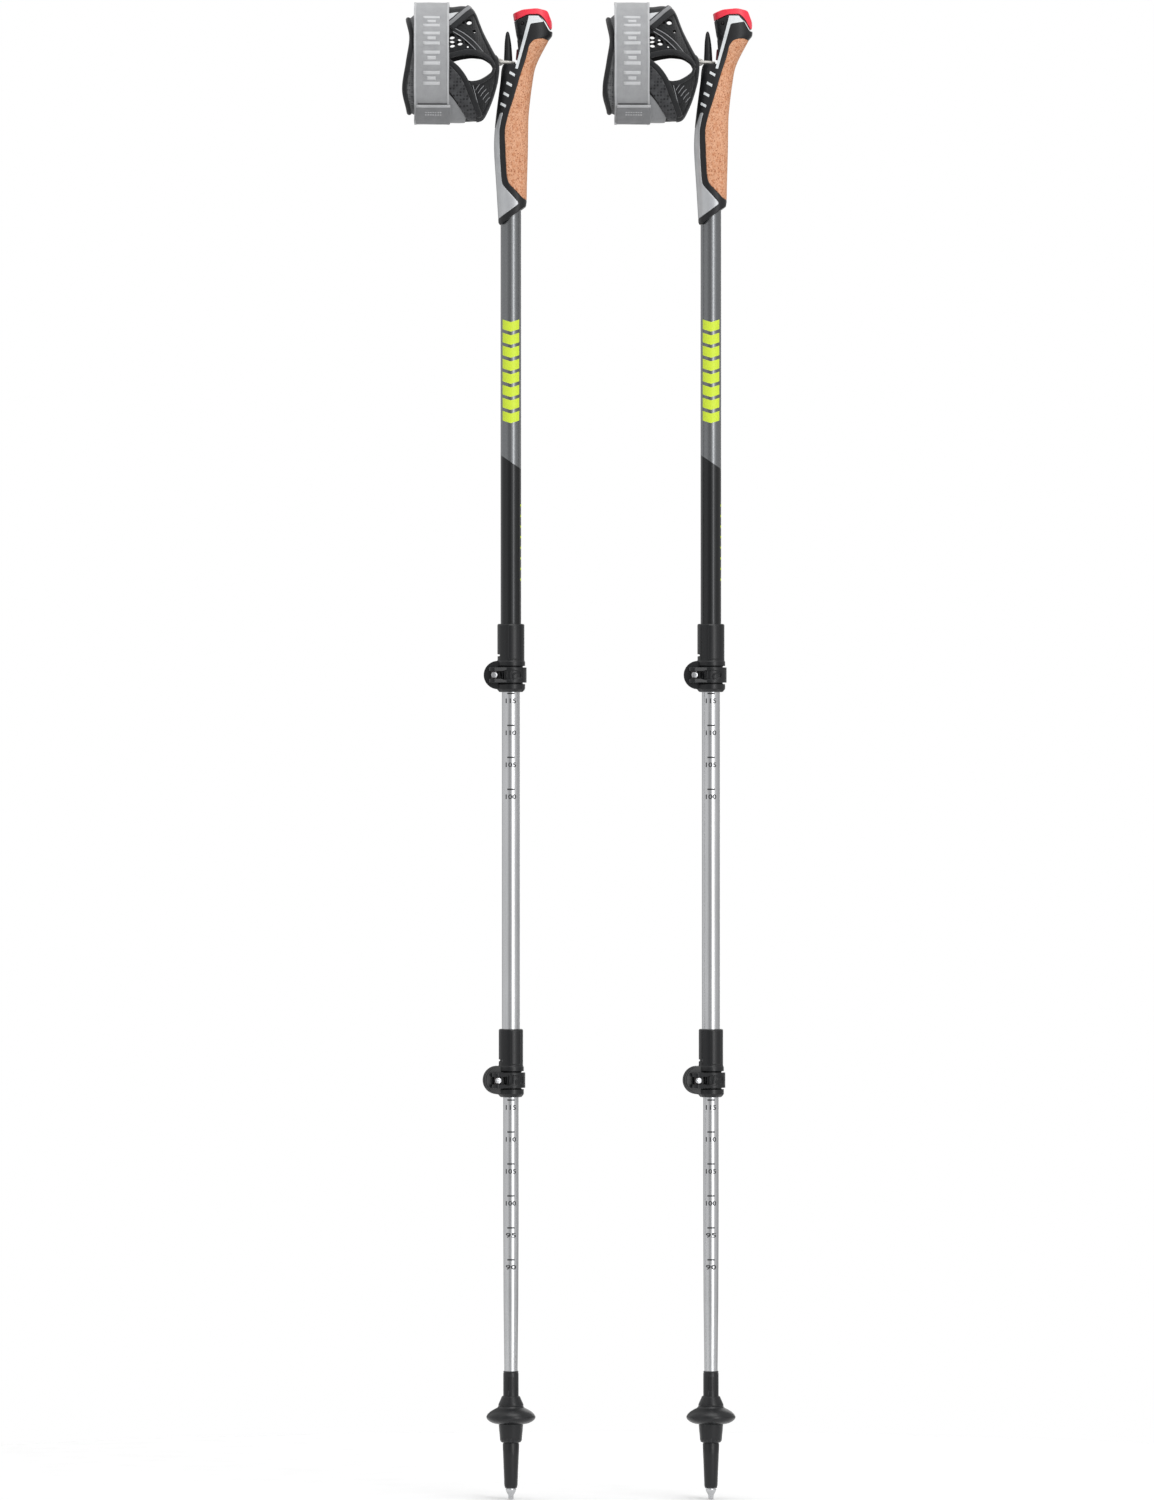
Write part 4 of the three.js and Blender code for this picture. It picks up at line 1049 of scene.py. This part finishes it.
def inlay(outlines):
    """A thin printed or moulded-in mark that follows the grip's flanks."""
    cuts = [side_cut(outline) for outline in outlines]
    skin = level_skin(GRIP, GRIP_ROUNDING, -INLAY["proud"], 0.8, 144)
    marks = boolean(skin, "INTERSECT", joined(*cuts))
    return boolean(marks, "DIFFERENCE", level_skin(GRIP, GRIP_ROUNDING, INLAY["deep"], 0.8, 144))


def generic_dashes():
    """Four plain slanted bars where a maker's lettering would be."""
    dashes = []
    start, end = Vector((2.4, 1103.4)), Vector((-4.6, 1079.4))
    along = (end - start).normalized()
    side = Vector((-along.y, along.x))
    for i in range(4):
        middle = start + (end - start) * i / 3 - side * 1.4
        corners = [(-2.3, -1), (-2.3, 1), (2.3, 1), (2.3, -1)]
        dashes.append([tuple(middle + side * a + along * (b + 0.25 * a)) for a, b in corners])
    return dashes


def make_grip():
    """The cork, the rear panel and the black shell, each cut from one envelope, and the marks."""
    envelope = level_skin(GRIP, GRIP_ROUNDING, 0, 0.8, 144)
    cork = boolean(envelope, "INTERSECT", side_cut(CORK_OUTLINE, 3, 0.05))
    cork = boolean(cork, "DIFFERENCE", core_room(), tube_room())
    place(moulded(cork, 0.5, 3), "cork_grip_fine", CORK, "upper_section", "cork", ["cork_grip"])

    panel = boolean(envelope, "INTERSECT", side_cut(PANEL_OUTLINE, 2, 0.05))
    panel = boolean(panel, "DIFFERENCE", core_room(), tube_room())
    place(moulded(panel, 0.33, 6), "rear_panel_fine", SILVER, "upper_section", "silver_plastic",
          ["rear_panel"])

    shell = boolean(
        envelope, "DIFFERENCE",
        side_cut(BELOW_GRIP), side_cut(ABOVE_HEAD, 2), side_cut(NOTCH_OUTLINE, 2),
        side_cut(CORK_OUTLINE, 3), side_cut(PANEL_OUTLINE, 2), block(*CHANNEL),
    )
    shell = boolean(shell, "UNION", level_skin(HORN, 2, 0, 0.5, 48))
    spring_room = round_bar(3.3, 1140.6, 1155, (SPRING["x"], 0), "z")
    shell = boolean(shell, "DIFFERENCE", core_room(), tube_room(), block(*LUG_ROOM), spring_room,
                    round_bar(1.2, -20, 20, PIVOT))
    place(moulded(shell, 0.36, 5), "grip_shell_fine", SOFT_BLACK, "upper_section", "black_rubber",
          ["grip_shell"])
    place(inlay([STRIPE]), "grip_stripe", GREY_INK, "upper_section", "silver_plastic", sharp=30)
    place(inlay(generic_dashes()), "grip_dashes", GREY_INK, "upper_section", "silver_plastic", sharp=30)


def make_release():
    """The red button with its pin and spring, and the strap's latch."""
    head = level_skin(GRIP, GRIP_ROUNDING, 0, 1, 96, low=1130)
    button = boolean(side_cut(BUTTON_OUTLINE, 2), "INTERSECT", head)
    lug = block((6.6, -3, 1140), (11.2, 3, 1150.5))
    button = boolean(button, "UNION", lug)
    grooves = [round_bar(0.75, -9, 9, (32.5 - 1.1 * i, 1144.4 + 2.8 * i)) for i in range(3)]
    button = boolean(button, "DIFFERENCE", round_bar(1.2, -10, 10, PIVOT), joined(*grooves))
    button = moulded(button, 0.35, 4)
    place(button, "release_button_fine", RED, "button", "red_plastic", ["release_button"])
    pin = lathe([(0, -12.5), (0.6, -12.5), (0.9, -12.2), (0.9, 12.2), (0.6, 12.5), (0, 12.5)], 32)
    across = Matrix.Rotation(math.radians(90), 4, "X")
    pin = moved(pin, Matrix.Translation((PIVOT[0], 0, PIVOT[1])) @ across)
    place(pin, "release_pin_fine", DARK_STEEL, "upper_section", "steel", ["release_pivot_pin"], sharp=30)
    path = []
    steps = 32 * SPRING["turns"]
    for i in range(steps + 1):
        angle = 2 * math.pi * SPRING["turns"] * i / steps
        height = SPRING["bottom"] + (SPRING["top"] - SPRING["bottom"]) * i / steps
        out = Vector((math.cos(angle), math.sin(angle), 0))
        path.append((Vector((SPRING["x"], 0, height)) + out * SPRING["radius"], out))
    spring = sweep(path, ellipse(SPRING["wire"], SPRING["wire"], 10))
    place(spring, "release_spring_fine", STEEL, "upper_section", "steel", ["release_spring"])
    latch = moulded(slab(fillet(LATCH, 0.8), -3.5, 3.5), 0.25, 2)
    place(latch, "strap_latch_fine", DARK_RED, "latch", "dark_red_plastic", ["strap_latch"])
    for side in SIDES:
        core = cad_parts[f"{side}_grip_core"]
        core.data.materials.clear()
        core.data.materials.append(SOFT_BLACK)


make_grip()
make_release()

# -------- strap
# Upright sections of the hand cuff: x, bottom, top and half depth.
CUFF = [
    (-82, 1074, 1147, 25.8), (-62, 1067.6, 1157.4, 27.2), (-46, 1067.8, 1156, 25.6),
    (-30, 1067.5, 1154.5, 21), (-22, 1069.5, 1136.5, 16), (-16, 1081.5, 1124.5, 10.5),
    (-12.6, 1092, 1118.5, 7), (-10.4, 1101, 1115.5, 4.5),
]
CUFF_LEFT, CUFF_WIDEST, NOSE_X = CUFF[0][0], CUFF[1][0], CUFF[-1][0]
# Where the cuff's wrist edge lies at each height: (z, x).
WRIST_EDGE = [
    (1068, -78), (1076, -79), (1091, -82), (1112, -79), (1131, -76.4), (1146, -79.2), (1150, -80),
]
# The creases fade out over this length towards the nose.
CREASE_FADE = 12
# Where the grey wrist mesh ends and the black net begins, with a small overlap.
SEAM_X, SEAM_OVERLAP = -60, 0.2
RIBBON_STEP = 1.0
THUMB_HOLE = [
    (-48.6, 1114.4), (-40, 1116.8), (-31, 1118), (-22, 1116.6), (-16, 1112.4), (-13.8, 1108.4),
    (-15, 1105.4), (-19.4, 1101.6), (-25, 1098.4), (-32.6, 1097.4), (-36.6, 1103), (-42, 1109.6),
]
HOLES = [
    (-45.4, 1125.9, 2.6), (-39.4, 1127.5, 2.5), (-33.3, 1128.1, 2.1), (-27.2, 1123.8, 1.2),
    (-45.6, 1132.3, 2.5), (-39.7, 1133.5, 2.2), (-32.4, 1143.8, 2.3), (-28.3, 1136.4, 1.3),
    (-36.6, 1143.2, 1.1), (-33.2, 1123.9, 0.7),
]
BAND = {"left": -74.8, "right": -47.7, "middle": 1112.5, "depth": 27.6, "height": 45.3, "thick": 2.2}
WRIST_TAB = {"left": -73.3, "right": -46.9, "start": 136, "end": 165}
# The band's woven motif: groups of three bars, each bar as (turn from the group's start, inset).
MOTIF = {"start": 41, "step": 19.5, "margin": 7, "bar": 3.4, "bars": ((0, 0), (5.2, 3.2), (10.4, 0))}
RING = {"x": -3.05, "z": 1112.9, "radius": 5.55, "cord": 1.1, "squeeze": 0.83}
BIGHT_CORD = 0.85
# The bight's two ends, buried in the cuff's nose, as (x, z) in the order of the cord's path.
BIGHT_TOP = [(-14.5, 1115.4), (-12, 1115.6)]
BIGHT_LOW = [(-12, 1111.4), (-14.5, 1111.6)]
WHIPPING = {"turns": 3, "x": -11.2, "step": 0.75, "z": 1113.5, "deep": 1.3, "tall": 3, "thread": 0.42}
# Further than any piece of the strap reaches from the pole's middle plane.
FAR = 40


def cloth(mesh, name, material, slot="strap_mesh", replaces=(), **more):
    """A piece of the strap."""
    place(mesh, name, material, "strap", slot, replaces, **more)


def crease(x, y, z):
    """Soft hollows and folds, in millimetres, that stay put in the cloth."""
    broad = noise.noise(Vector((x, y, z)) * 0.055)
    fine = noise.noise(Vector((x + 40, y, z)) * 0.16)
    return 0.9 * broad + 0.25 * fine


def cuff_point(x, around, lift=0.0):
    """A point of the cuff: around is 0 at the top, 90 on the near side and 180 at the bottom."""
    bottom, top, deep = hermite(CUFF, x)
    angle = math.radians(around)
    half = (top - bottom) / 2
    outward = Vector((0, -math.sin(angle) / deep, math.cos(angle) / half)).normalized()
    z = (top + bottom) / 2 + half * math.cos(angle)
    y = -deep * math.sin(angle)
    edge = hermite(WRIST_EDGE, z)[0] - CUFF_LEFT
    quiet = min((NOSE_X - x) / CREASE_FADE, 1)
    share = max(0, (CUFF_WIDEST - x) / (CUFF_WIDEST - CUFF_LEFT))
    point = Vector((x + edge * share, y, z))
    return point + outward * (lift + crease(x, y, z) * quiet)


def around_at(x, z, near):
    """The angle at which the cuff passes a height, on its near or far side."""
    bottom, top, _ = hermite(CUFF, x)
    share = (z - (top + bottom) / 2) / ((top - bottom) / 2)
    angle = math.degrees(math.acos(max(-0.9995, min(0.9995, share))))
    return angle if near else -angle


def cuff_layer(inside, outside, left=CUFF_LEFT, right=NOSE_X, step=0.8, sides=180):
    """A closed shell between two distances from the cuff's surface, from one x to another."""
    count = max(int((right - left) / step), 2)
    columns = [left + (right - left) * i / count for i in range(count + 1)]
    points = []
    for lift, order in ((outside, columns), (inside, columns[::-1])):
        for x in order:
            points += [cuff_point(x, 360 * j / sides, lift) for j in range(sides)]
    return mesh_of("layer", points, grid_faces(2 * len(columns), sides, True))


def smooth_path(points):
    """A smooth line through (x, z) points, as points about one step apart."""
    rows = [(0, *points[0])]
    for before, here in zip(points, points[1:]):
        rows.append((rows[-1][0] + math.dist(before, here), *here))
    count = max(int(rows[-1][0] / RIBBON_STEP), 2)
    return [tuple(hermite(rows, rows[-1][0] * i / count)) for i in range(count + 1)]


def cuff_frame(x, z, near, lift):
    """A point on the cuff at (x, z) and the way out from it."""
    around = around_at(x, z, near)
    here = cuff_point(x, around, lift)
    ahead = cuff_point(x + 0.3, around, lift) - here
    up = cuff_point(x, around + 1, lift) - here
    out = ahead.cross(up).normalized()
    centre = Vector((x, 0, BAND["middle"]))
    return here, out if out.dot(here - centre) > 0 else -out


def ribbon(points, half_width, half_thick, lift):
    """A tape with rounded edges laid along (x, z) points, on the near and the far side of the cuff."""
    section = []
    for side, out in ellipse(1, half_thick, 16):
        section.append((half_width * math.copysign(abs(side) ** 0.6, side), out))
    tapes = []
    for near in (True, False):
        path = [cuff_frame(x, z, near, lift) for x, z in smooth_path(points)]
        tapes.append(sweep(path, section))
    return joined(*tapes)


def patch(outline, inside, outside, voxel, smoothing):
    """A panel of cloth or padding cut to an (x, z) outline, on both sides of the cuff."""
    cut = slab(outline, -FAR, FAR)
    low = min(x for x, _ in outline) - 2
    high = min(max(x for x, _ in outline) + 2, NOSE_X)
    panel = boolean(cuff_layer(inside, outside, low, high, 0.8, 144), "INTERSECT", cut)
    return moulded(panel, voxel, smoothing)


def make_cuff():
    """The hand cuff: mesh and net, piping and bindings, the folded strip, linings and palm pad."""
    thumb = slab(fillet(THUMB_HOLE, 3), -FAR, FAR)
    left = cuff_layer(-1.6, 0, CUFF_LEFT, SEAM_X)
    cloth(left, "cuff_wrist_mesh", GREY_MESH, replaces=["strap_cuff"])
    holes = [round_bar(radius, -FAR, FAR, (x, z), "y", 24) for x, z, radius in HOLES]
    right = cuff_layer(-1.5, 0, SEAM_X - SEAM_OVERLAP, NOSE_X)
    right = boolean(right, "DIFFERENCE", thumb, *holes)
    cloth(right, "cuff_hand_net", NET, sharp=45)

    rim = []
    for i in range(120):
        here = cuff_point(CUFF_LEFT, 3 * i, -0.4)
        ahead = cuff_point(CUFF_LEFT + 2, 3 * i, -0.4)
        rim.append((here, (here - ahead).normalized()))
    cloth(sweep(rim, ellipse(2.3, 2.1, 14), True), "wrist_piping", TAPE)

    upper = [(x, hermite(CUFF, x)[1] - 2.1) for x in (-31, -28, -25, -22, -19, -16, -13.5, -11.2)]
    lower = [(x, hermite(CUFF, x)[0] + 2.0) for x in (-27, -24, -21.5, -18.5, -16, -13.6, -11.2)]
    nose = [(-11.4, 1117), (-11, 1113), (-10.7, 1108), (-11, 1103), (-11.4, 1099.6)]
    edges = [ribbon(upper, 2.7, 1.1, 0.5), ribbon(lower, 2.5, 1.1, 0.5), ribbon(nose, 2.2, 1.2, 0.5)]
    cloth(joined(*edges), "edge_binding", TAPE)
    thumb_top = [(-48, 1116.6), (-40, 1119), (-31, 1120.2), (-22, 1118.8), (-15.6, 1114.2)]
    thumb_top.append((-12.8, 1109.4))
    thumb_low = [(-12.8, 1108.6), (-14.6, 1103.8), (-19.2, 1099.8), (-25, 1096.4), (-31.5, 1095.6)]
    rims = joined(ribbon(thumb_top, 1.9, 0.9, 0.4), ribbon(thumb_low, 1.5, 0.8, 0.4))
    cloth(rims, "thumb_binding", TAPE)
    arc_path = [(-48.6, 1112.6), (-42, 1107.4), (-37, 1101.2), (-33.6, 1095), (-31, 1088.6)]
    arc_path += [(-27.4, 1080), (-24.2, 1071.5)]
    cloth(ribbon(arc_path, 2.3, 1.5, 0.9), "thumb_piping", TAPE)

    strip = [(-30.6, 1153.4), (-36, 1149.4), (-41.4, 1144.6), (-47.4, 1139.6)]
    cloth(ribbon(strip, 4.2, 0.8, 1.1), "folded_strip", TAPE)
    face = [(x - 0.9, z + 0.9) for x, z in strip]
    cloth(ribbon(face, 1.5, 0.35, 2.0), "folded_strip_face", TAB)
    lining = [(-48.4, 1142.5), (-48.4, 1150.5), (-40.5, 1151.6), (-38.6, 1150)]
    cloth(patch(lining, 0.1, 0.9, 0.4, 2), "top_lining", LINING)
    corner = [(-48.6, 1088.6), (-44, 1083.6), (-38.6, 1076.4), (-34.6, 1070), (-36, 1066)]
    corner.append((-48.6, 1066))
    cloth(patch(corner, 0.1, 0.9, 0.4, 2), "corner_lining", LINING_GREY)

    pad = [(-48.6, 1110.6), (-42.6, 1105.2), (-38.4, 1100), (-35.6, 1094.4), (-33, 1087.6)]
    pad += [(-29.6, 1079.6), (-26.4, 1071.6), (-27, 1068), (-33.6, 1068), (-38, 1075.6)]
    pad += [(-43, 1083.6), (-48.6, 1091)]
    cloth(patch(fillet(pad, 1.5), 0.1, 2.6, 0.55, 12), "palm_pad", PAD, padding=0.45)


def make_threads():
    """Fine pale lines: seams along the pad and the net, and the lower arm's loose threads."""
    seams = [
        [(-48.2, 1092.4), (-43.2, 1085), (-38.2, 1077.2), (-34.6, 1070.6)],
        [(-44.6, 1135.8), (-38.4, 1132), (-31.4, 1126), (-24.6, 1119.2)],
        [(-43, 1138.2), (-36.4, 1134.6), (-29, 1128.8), (-21.4, 1120.6)],
        [(-29.4, 1095), (-27.6, 1088), (-25.6, 1081), (-23.4, 1074)],
    ]
    lines = [ribbon(seam, 0.26, 0.2, 0.6) for seam in seams]
    for i in range(7):
        start = (-27.4 + 1.9 * i, 1090.5 - 2.2 * i)
        end = (start[0] + 4.6, start[1] + 6.4 - 0.3 * i)
        middle = ((start[0] + end[0]) / 2, (start[1] + end[1]) / 2 + 0.4)
        lines.append(ribbon([start, middle, end], 0.22, 0.2, 0.25))
    cloth(joined(*lines), "strap_seams", PALE_THREAD)
    tape = [(-45, 1137.6), (-38, 1133.6), (-30.4, 1127.4), (-22.6, 1119.4)]
    cloth(ribbon(tape, 2.1, 0.3, 0.3), "net_seam_tape", TAPE)


def band_point(x, around, lift):
    """A point of the wrist band, lifted from its inner face; it dips where the loose end is sewn on."""
    angle = math.radians(around)
    depth, height = BAND["depth"], BAND["height"]
    dip = 0.3 * math.exp(-((around - 133) / 4) ** 2)
    wave = 0.35 * noise.noise(Vector((x * 0.05, around * 0.03, 3)))
    out = Vector((0, -math.sin(angle) / depth, math.cos(angle) / height)).normalized()
    point = Vector((x, -depth * math.sin(angle), BAND["middle"] + height * math.cos(angle)))
    return point + out * (lift - (dip if lift <= BAND["thick"] else 0) + wave)


def band_strip(left, right, start, end, low, high, columns=14, step=1.5):
    """A closed strip of webbing round part or all of the band."""
    full = end - start >= 360
    count = int((end - start) / step)
    turns = [start + (end - start) * i / count for i in range(count if full else count + 1)]
    section = [(left + (right - left) * i / columns, high) for i in range(columns + 1)]
    section += [(right - (right - left) * i / columns, low) for i in range(columns + 1)]
    points = []
    for around in turns:
        sway = 0.25 * noise.noise(Vector((around * 0.04, 7, 1)))
        points += [band_point(x + sway, around, lift) for x, lift in section]
    return mesh_of("strip", points, grid_faces(len(turns), len(section), full))


def make_band():
    """The wrist band with its selvedges and motif, and the tab where its loose end is sewn on."""
    left, right, thick = BAND["left"], BAND["right"], BAND["thick"]
    web = worked(band_strip(left, right, 0, 360, 0.4, thick - 0.25, 20),
                 ("BEVEL", {"width": 0.3, "segments": 2, "angle_limit": 0.6}))
    cloth(web, "wrist_band_web", BAND_WEB, "strap_webbing", ["wrist_band"])
    edges = [band_strip(x, x + 1.6, 0, 360, 0.3, thick, 4) for x in (left, right - 1.6)]
    cloth(joined(*edges), "wrist_band_selvedges", BAND_EDGE, "strap_webbing")
    bars = []
    for group in range(4):
        for offset, inset in MOTIF["bars"]:
            start = MOTIF["start"] + MOTIF["step"] * group + offset
            margin = MOTIF["margin"] + inset
            bars.append(band_strip(left + margin, right - margin, start, start + MOTIF["bar"],
                                   thick - 0.3, thick - 0.12, 6, 0.85))
    cloth(joined(*bars), "wrist_band_motif", BAND_MARK, "strap_webbing")

    tab_left, tab_right, tab_start, tab_end = WRIST_TAB.values()
    tab = worked(band_strip(tab_left, tab_right, tab_start, tab_end, thick + 0.6, thick + 2.1, 16, 1),
                 ("BEVEL", {"width": 0.35, "segments": 2, "angle_limit": 0.6}))
    cloth(tab, "wrist_tab_web", TAB, "strap_tab", ["wrist_tab"])
    fold = band_strip(tab_left, tab_right, tab_start - 1.4, tab_start + 1, thick + 0.9, thick + 2.4,
                      10, 0.6)
    cloth(fold, "wrist_tab_fold", BAND_EDGE, "strap_tab")
    # Painted shadow: a thin dark strip just above the tab's fold, where the band lies in shade.
    slot = band_strip(tab_left + 1.2, tab_right - 2.4, tab_start - 2.8, tab_start, thick - 0.3,
                      thick - 0.1, 10, 0.6)
    cloth(slot, "wrist_tab_painted_shadow", PAINTED_SHADOW, "strap_tab")
    stitches = []
    for row, around in enumerate((143, 146.5)):
        for i in range(7):
            x = tab_left + 7 + 1.9 * i
            stitches.append(band_strip(x, x + 1.1, around, around + 1 + row * 0.3,
                                       thick + 2.05, thick + 2.3, 2, 0.5))
    cloth(joined(*stitches), "wrist_tab_stitches", BAND_MARK, "strap_tab")


def make_cord_ring():
    """The cord's closed loop round the hook, and the short bight that ties it to the cuff's nose."""
    path = []
    for c, s in ellipse(1, 1, 96):
        x = RING["x"] + RING["radius"] * c
        y = RING["radius"] * RING["squeeze"] * s
        rise = 0.35 * (1 - c)
        path.append((Vector((x, y, RING["z"] + rise)), Vector((c, s, 0))))
    ring = sweep(path, ellipse(RING["cord"], RING["cord"], 14), True)
    place(ring, "cord_loop", CORD, "strap_ring", "cord", ["strap_cord_ring"])

    eye = Vector((RING["x"] - RING["radius"], 0, RING["z"] + 0.7))
    reach = RING["cord"] + BIGHT_CORD + 0.1
    path = [(Vector((x, 0, z)), Vector((0, 0, 1))) for x, z in BIGHT_TOP]
    for i in range(21):
        angle = math.radians(100 - 200 * i / 20)
        out = Vector((math.cos(angle), 0, math.sin(angle)))
        path.append((eye + out * reach, out))
    path += [(Vector((x, 0, z)), Vector((0, 0, -1))) for x, z in BIGHT_LOW]
    bight = sweep(path, ellipse(BIGHT_CORD, BIGHT_CORD, 12))
    wraps = []
    for turn in range(WHIPPING["turns"]):
        middle = Vector((WHIPPING["x"] - WHIPPING["step"] * turn, 0, WHIPPING["z"]))
        loop = []
        for c, s in ellipse(1, 1, 32):
            here = middle + Vector((0, c * WHIPPING["deep"], s * WHIPPING["tall"]))
            loop.append((here, Vector((0, c, s))))
        wraps.append(sweep(loop, ellipse(WHIPPING["thread"], WHIPPING["thread"], 8), True))
    cloth(joined(bight, *wraps), "cord_bight", CORD, "cord")


make_cuff()
make_threads()
make_band()
make_cord_ring()
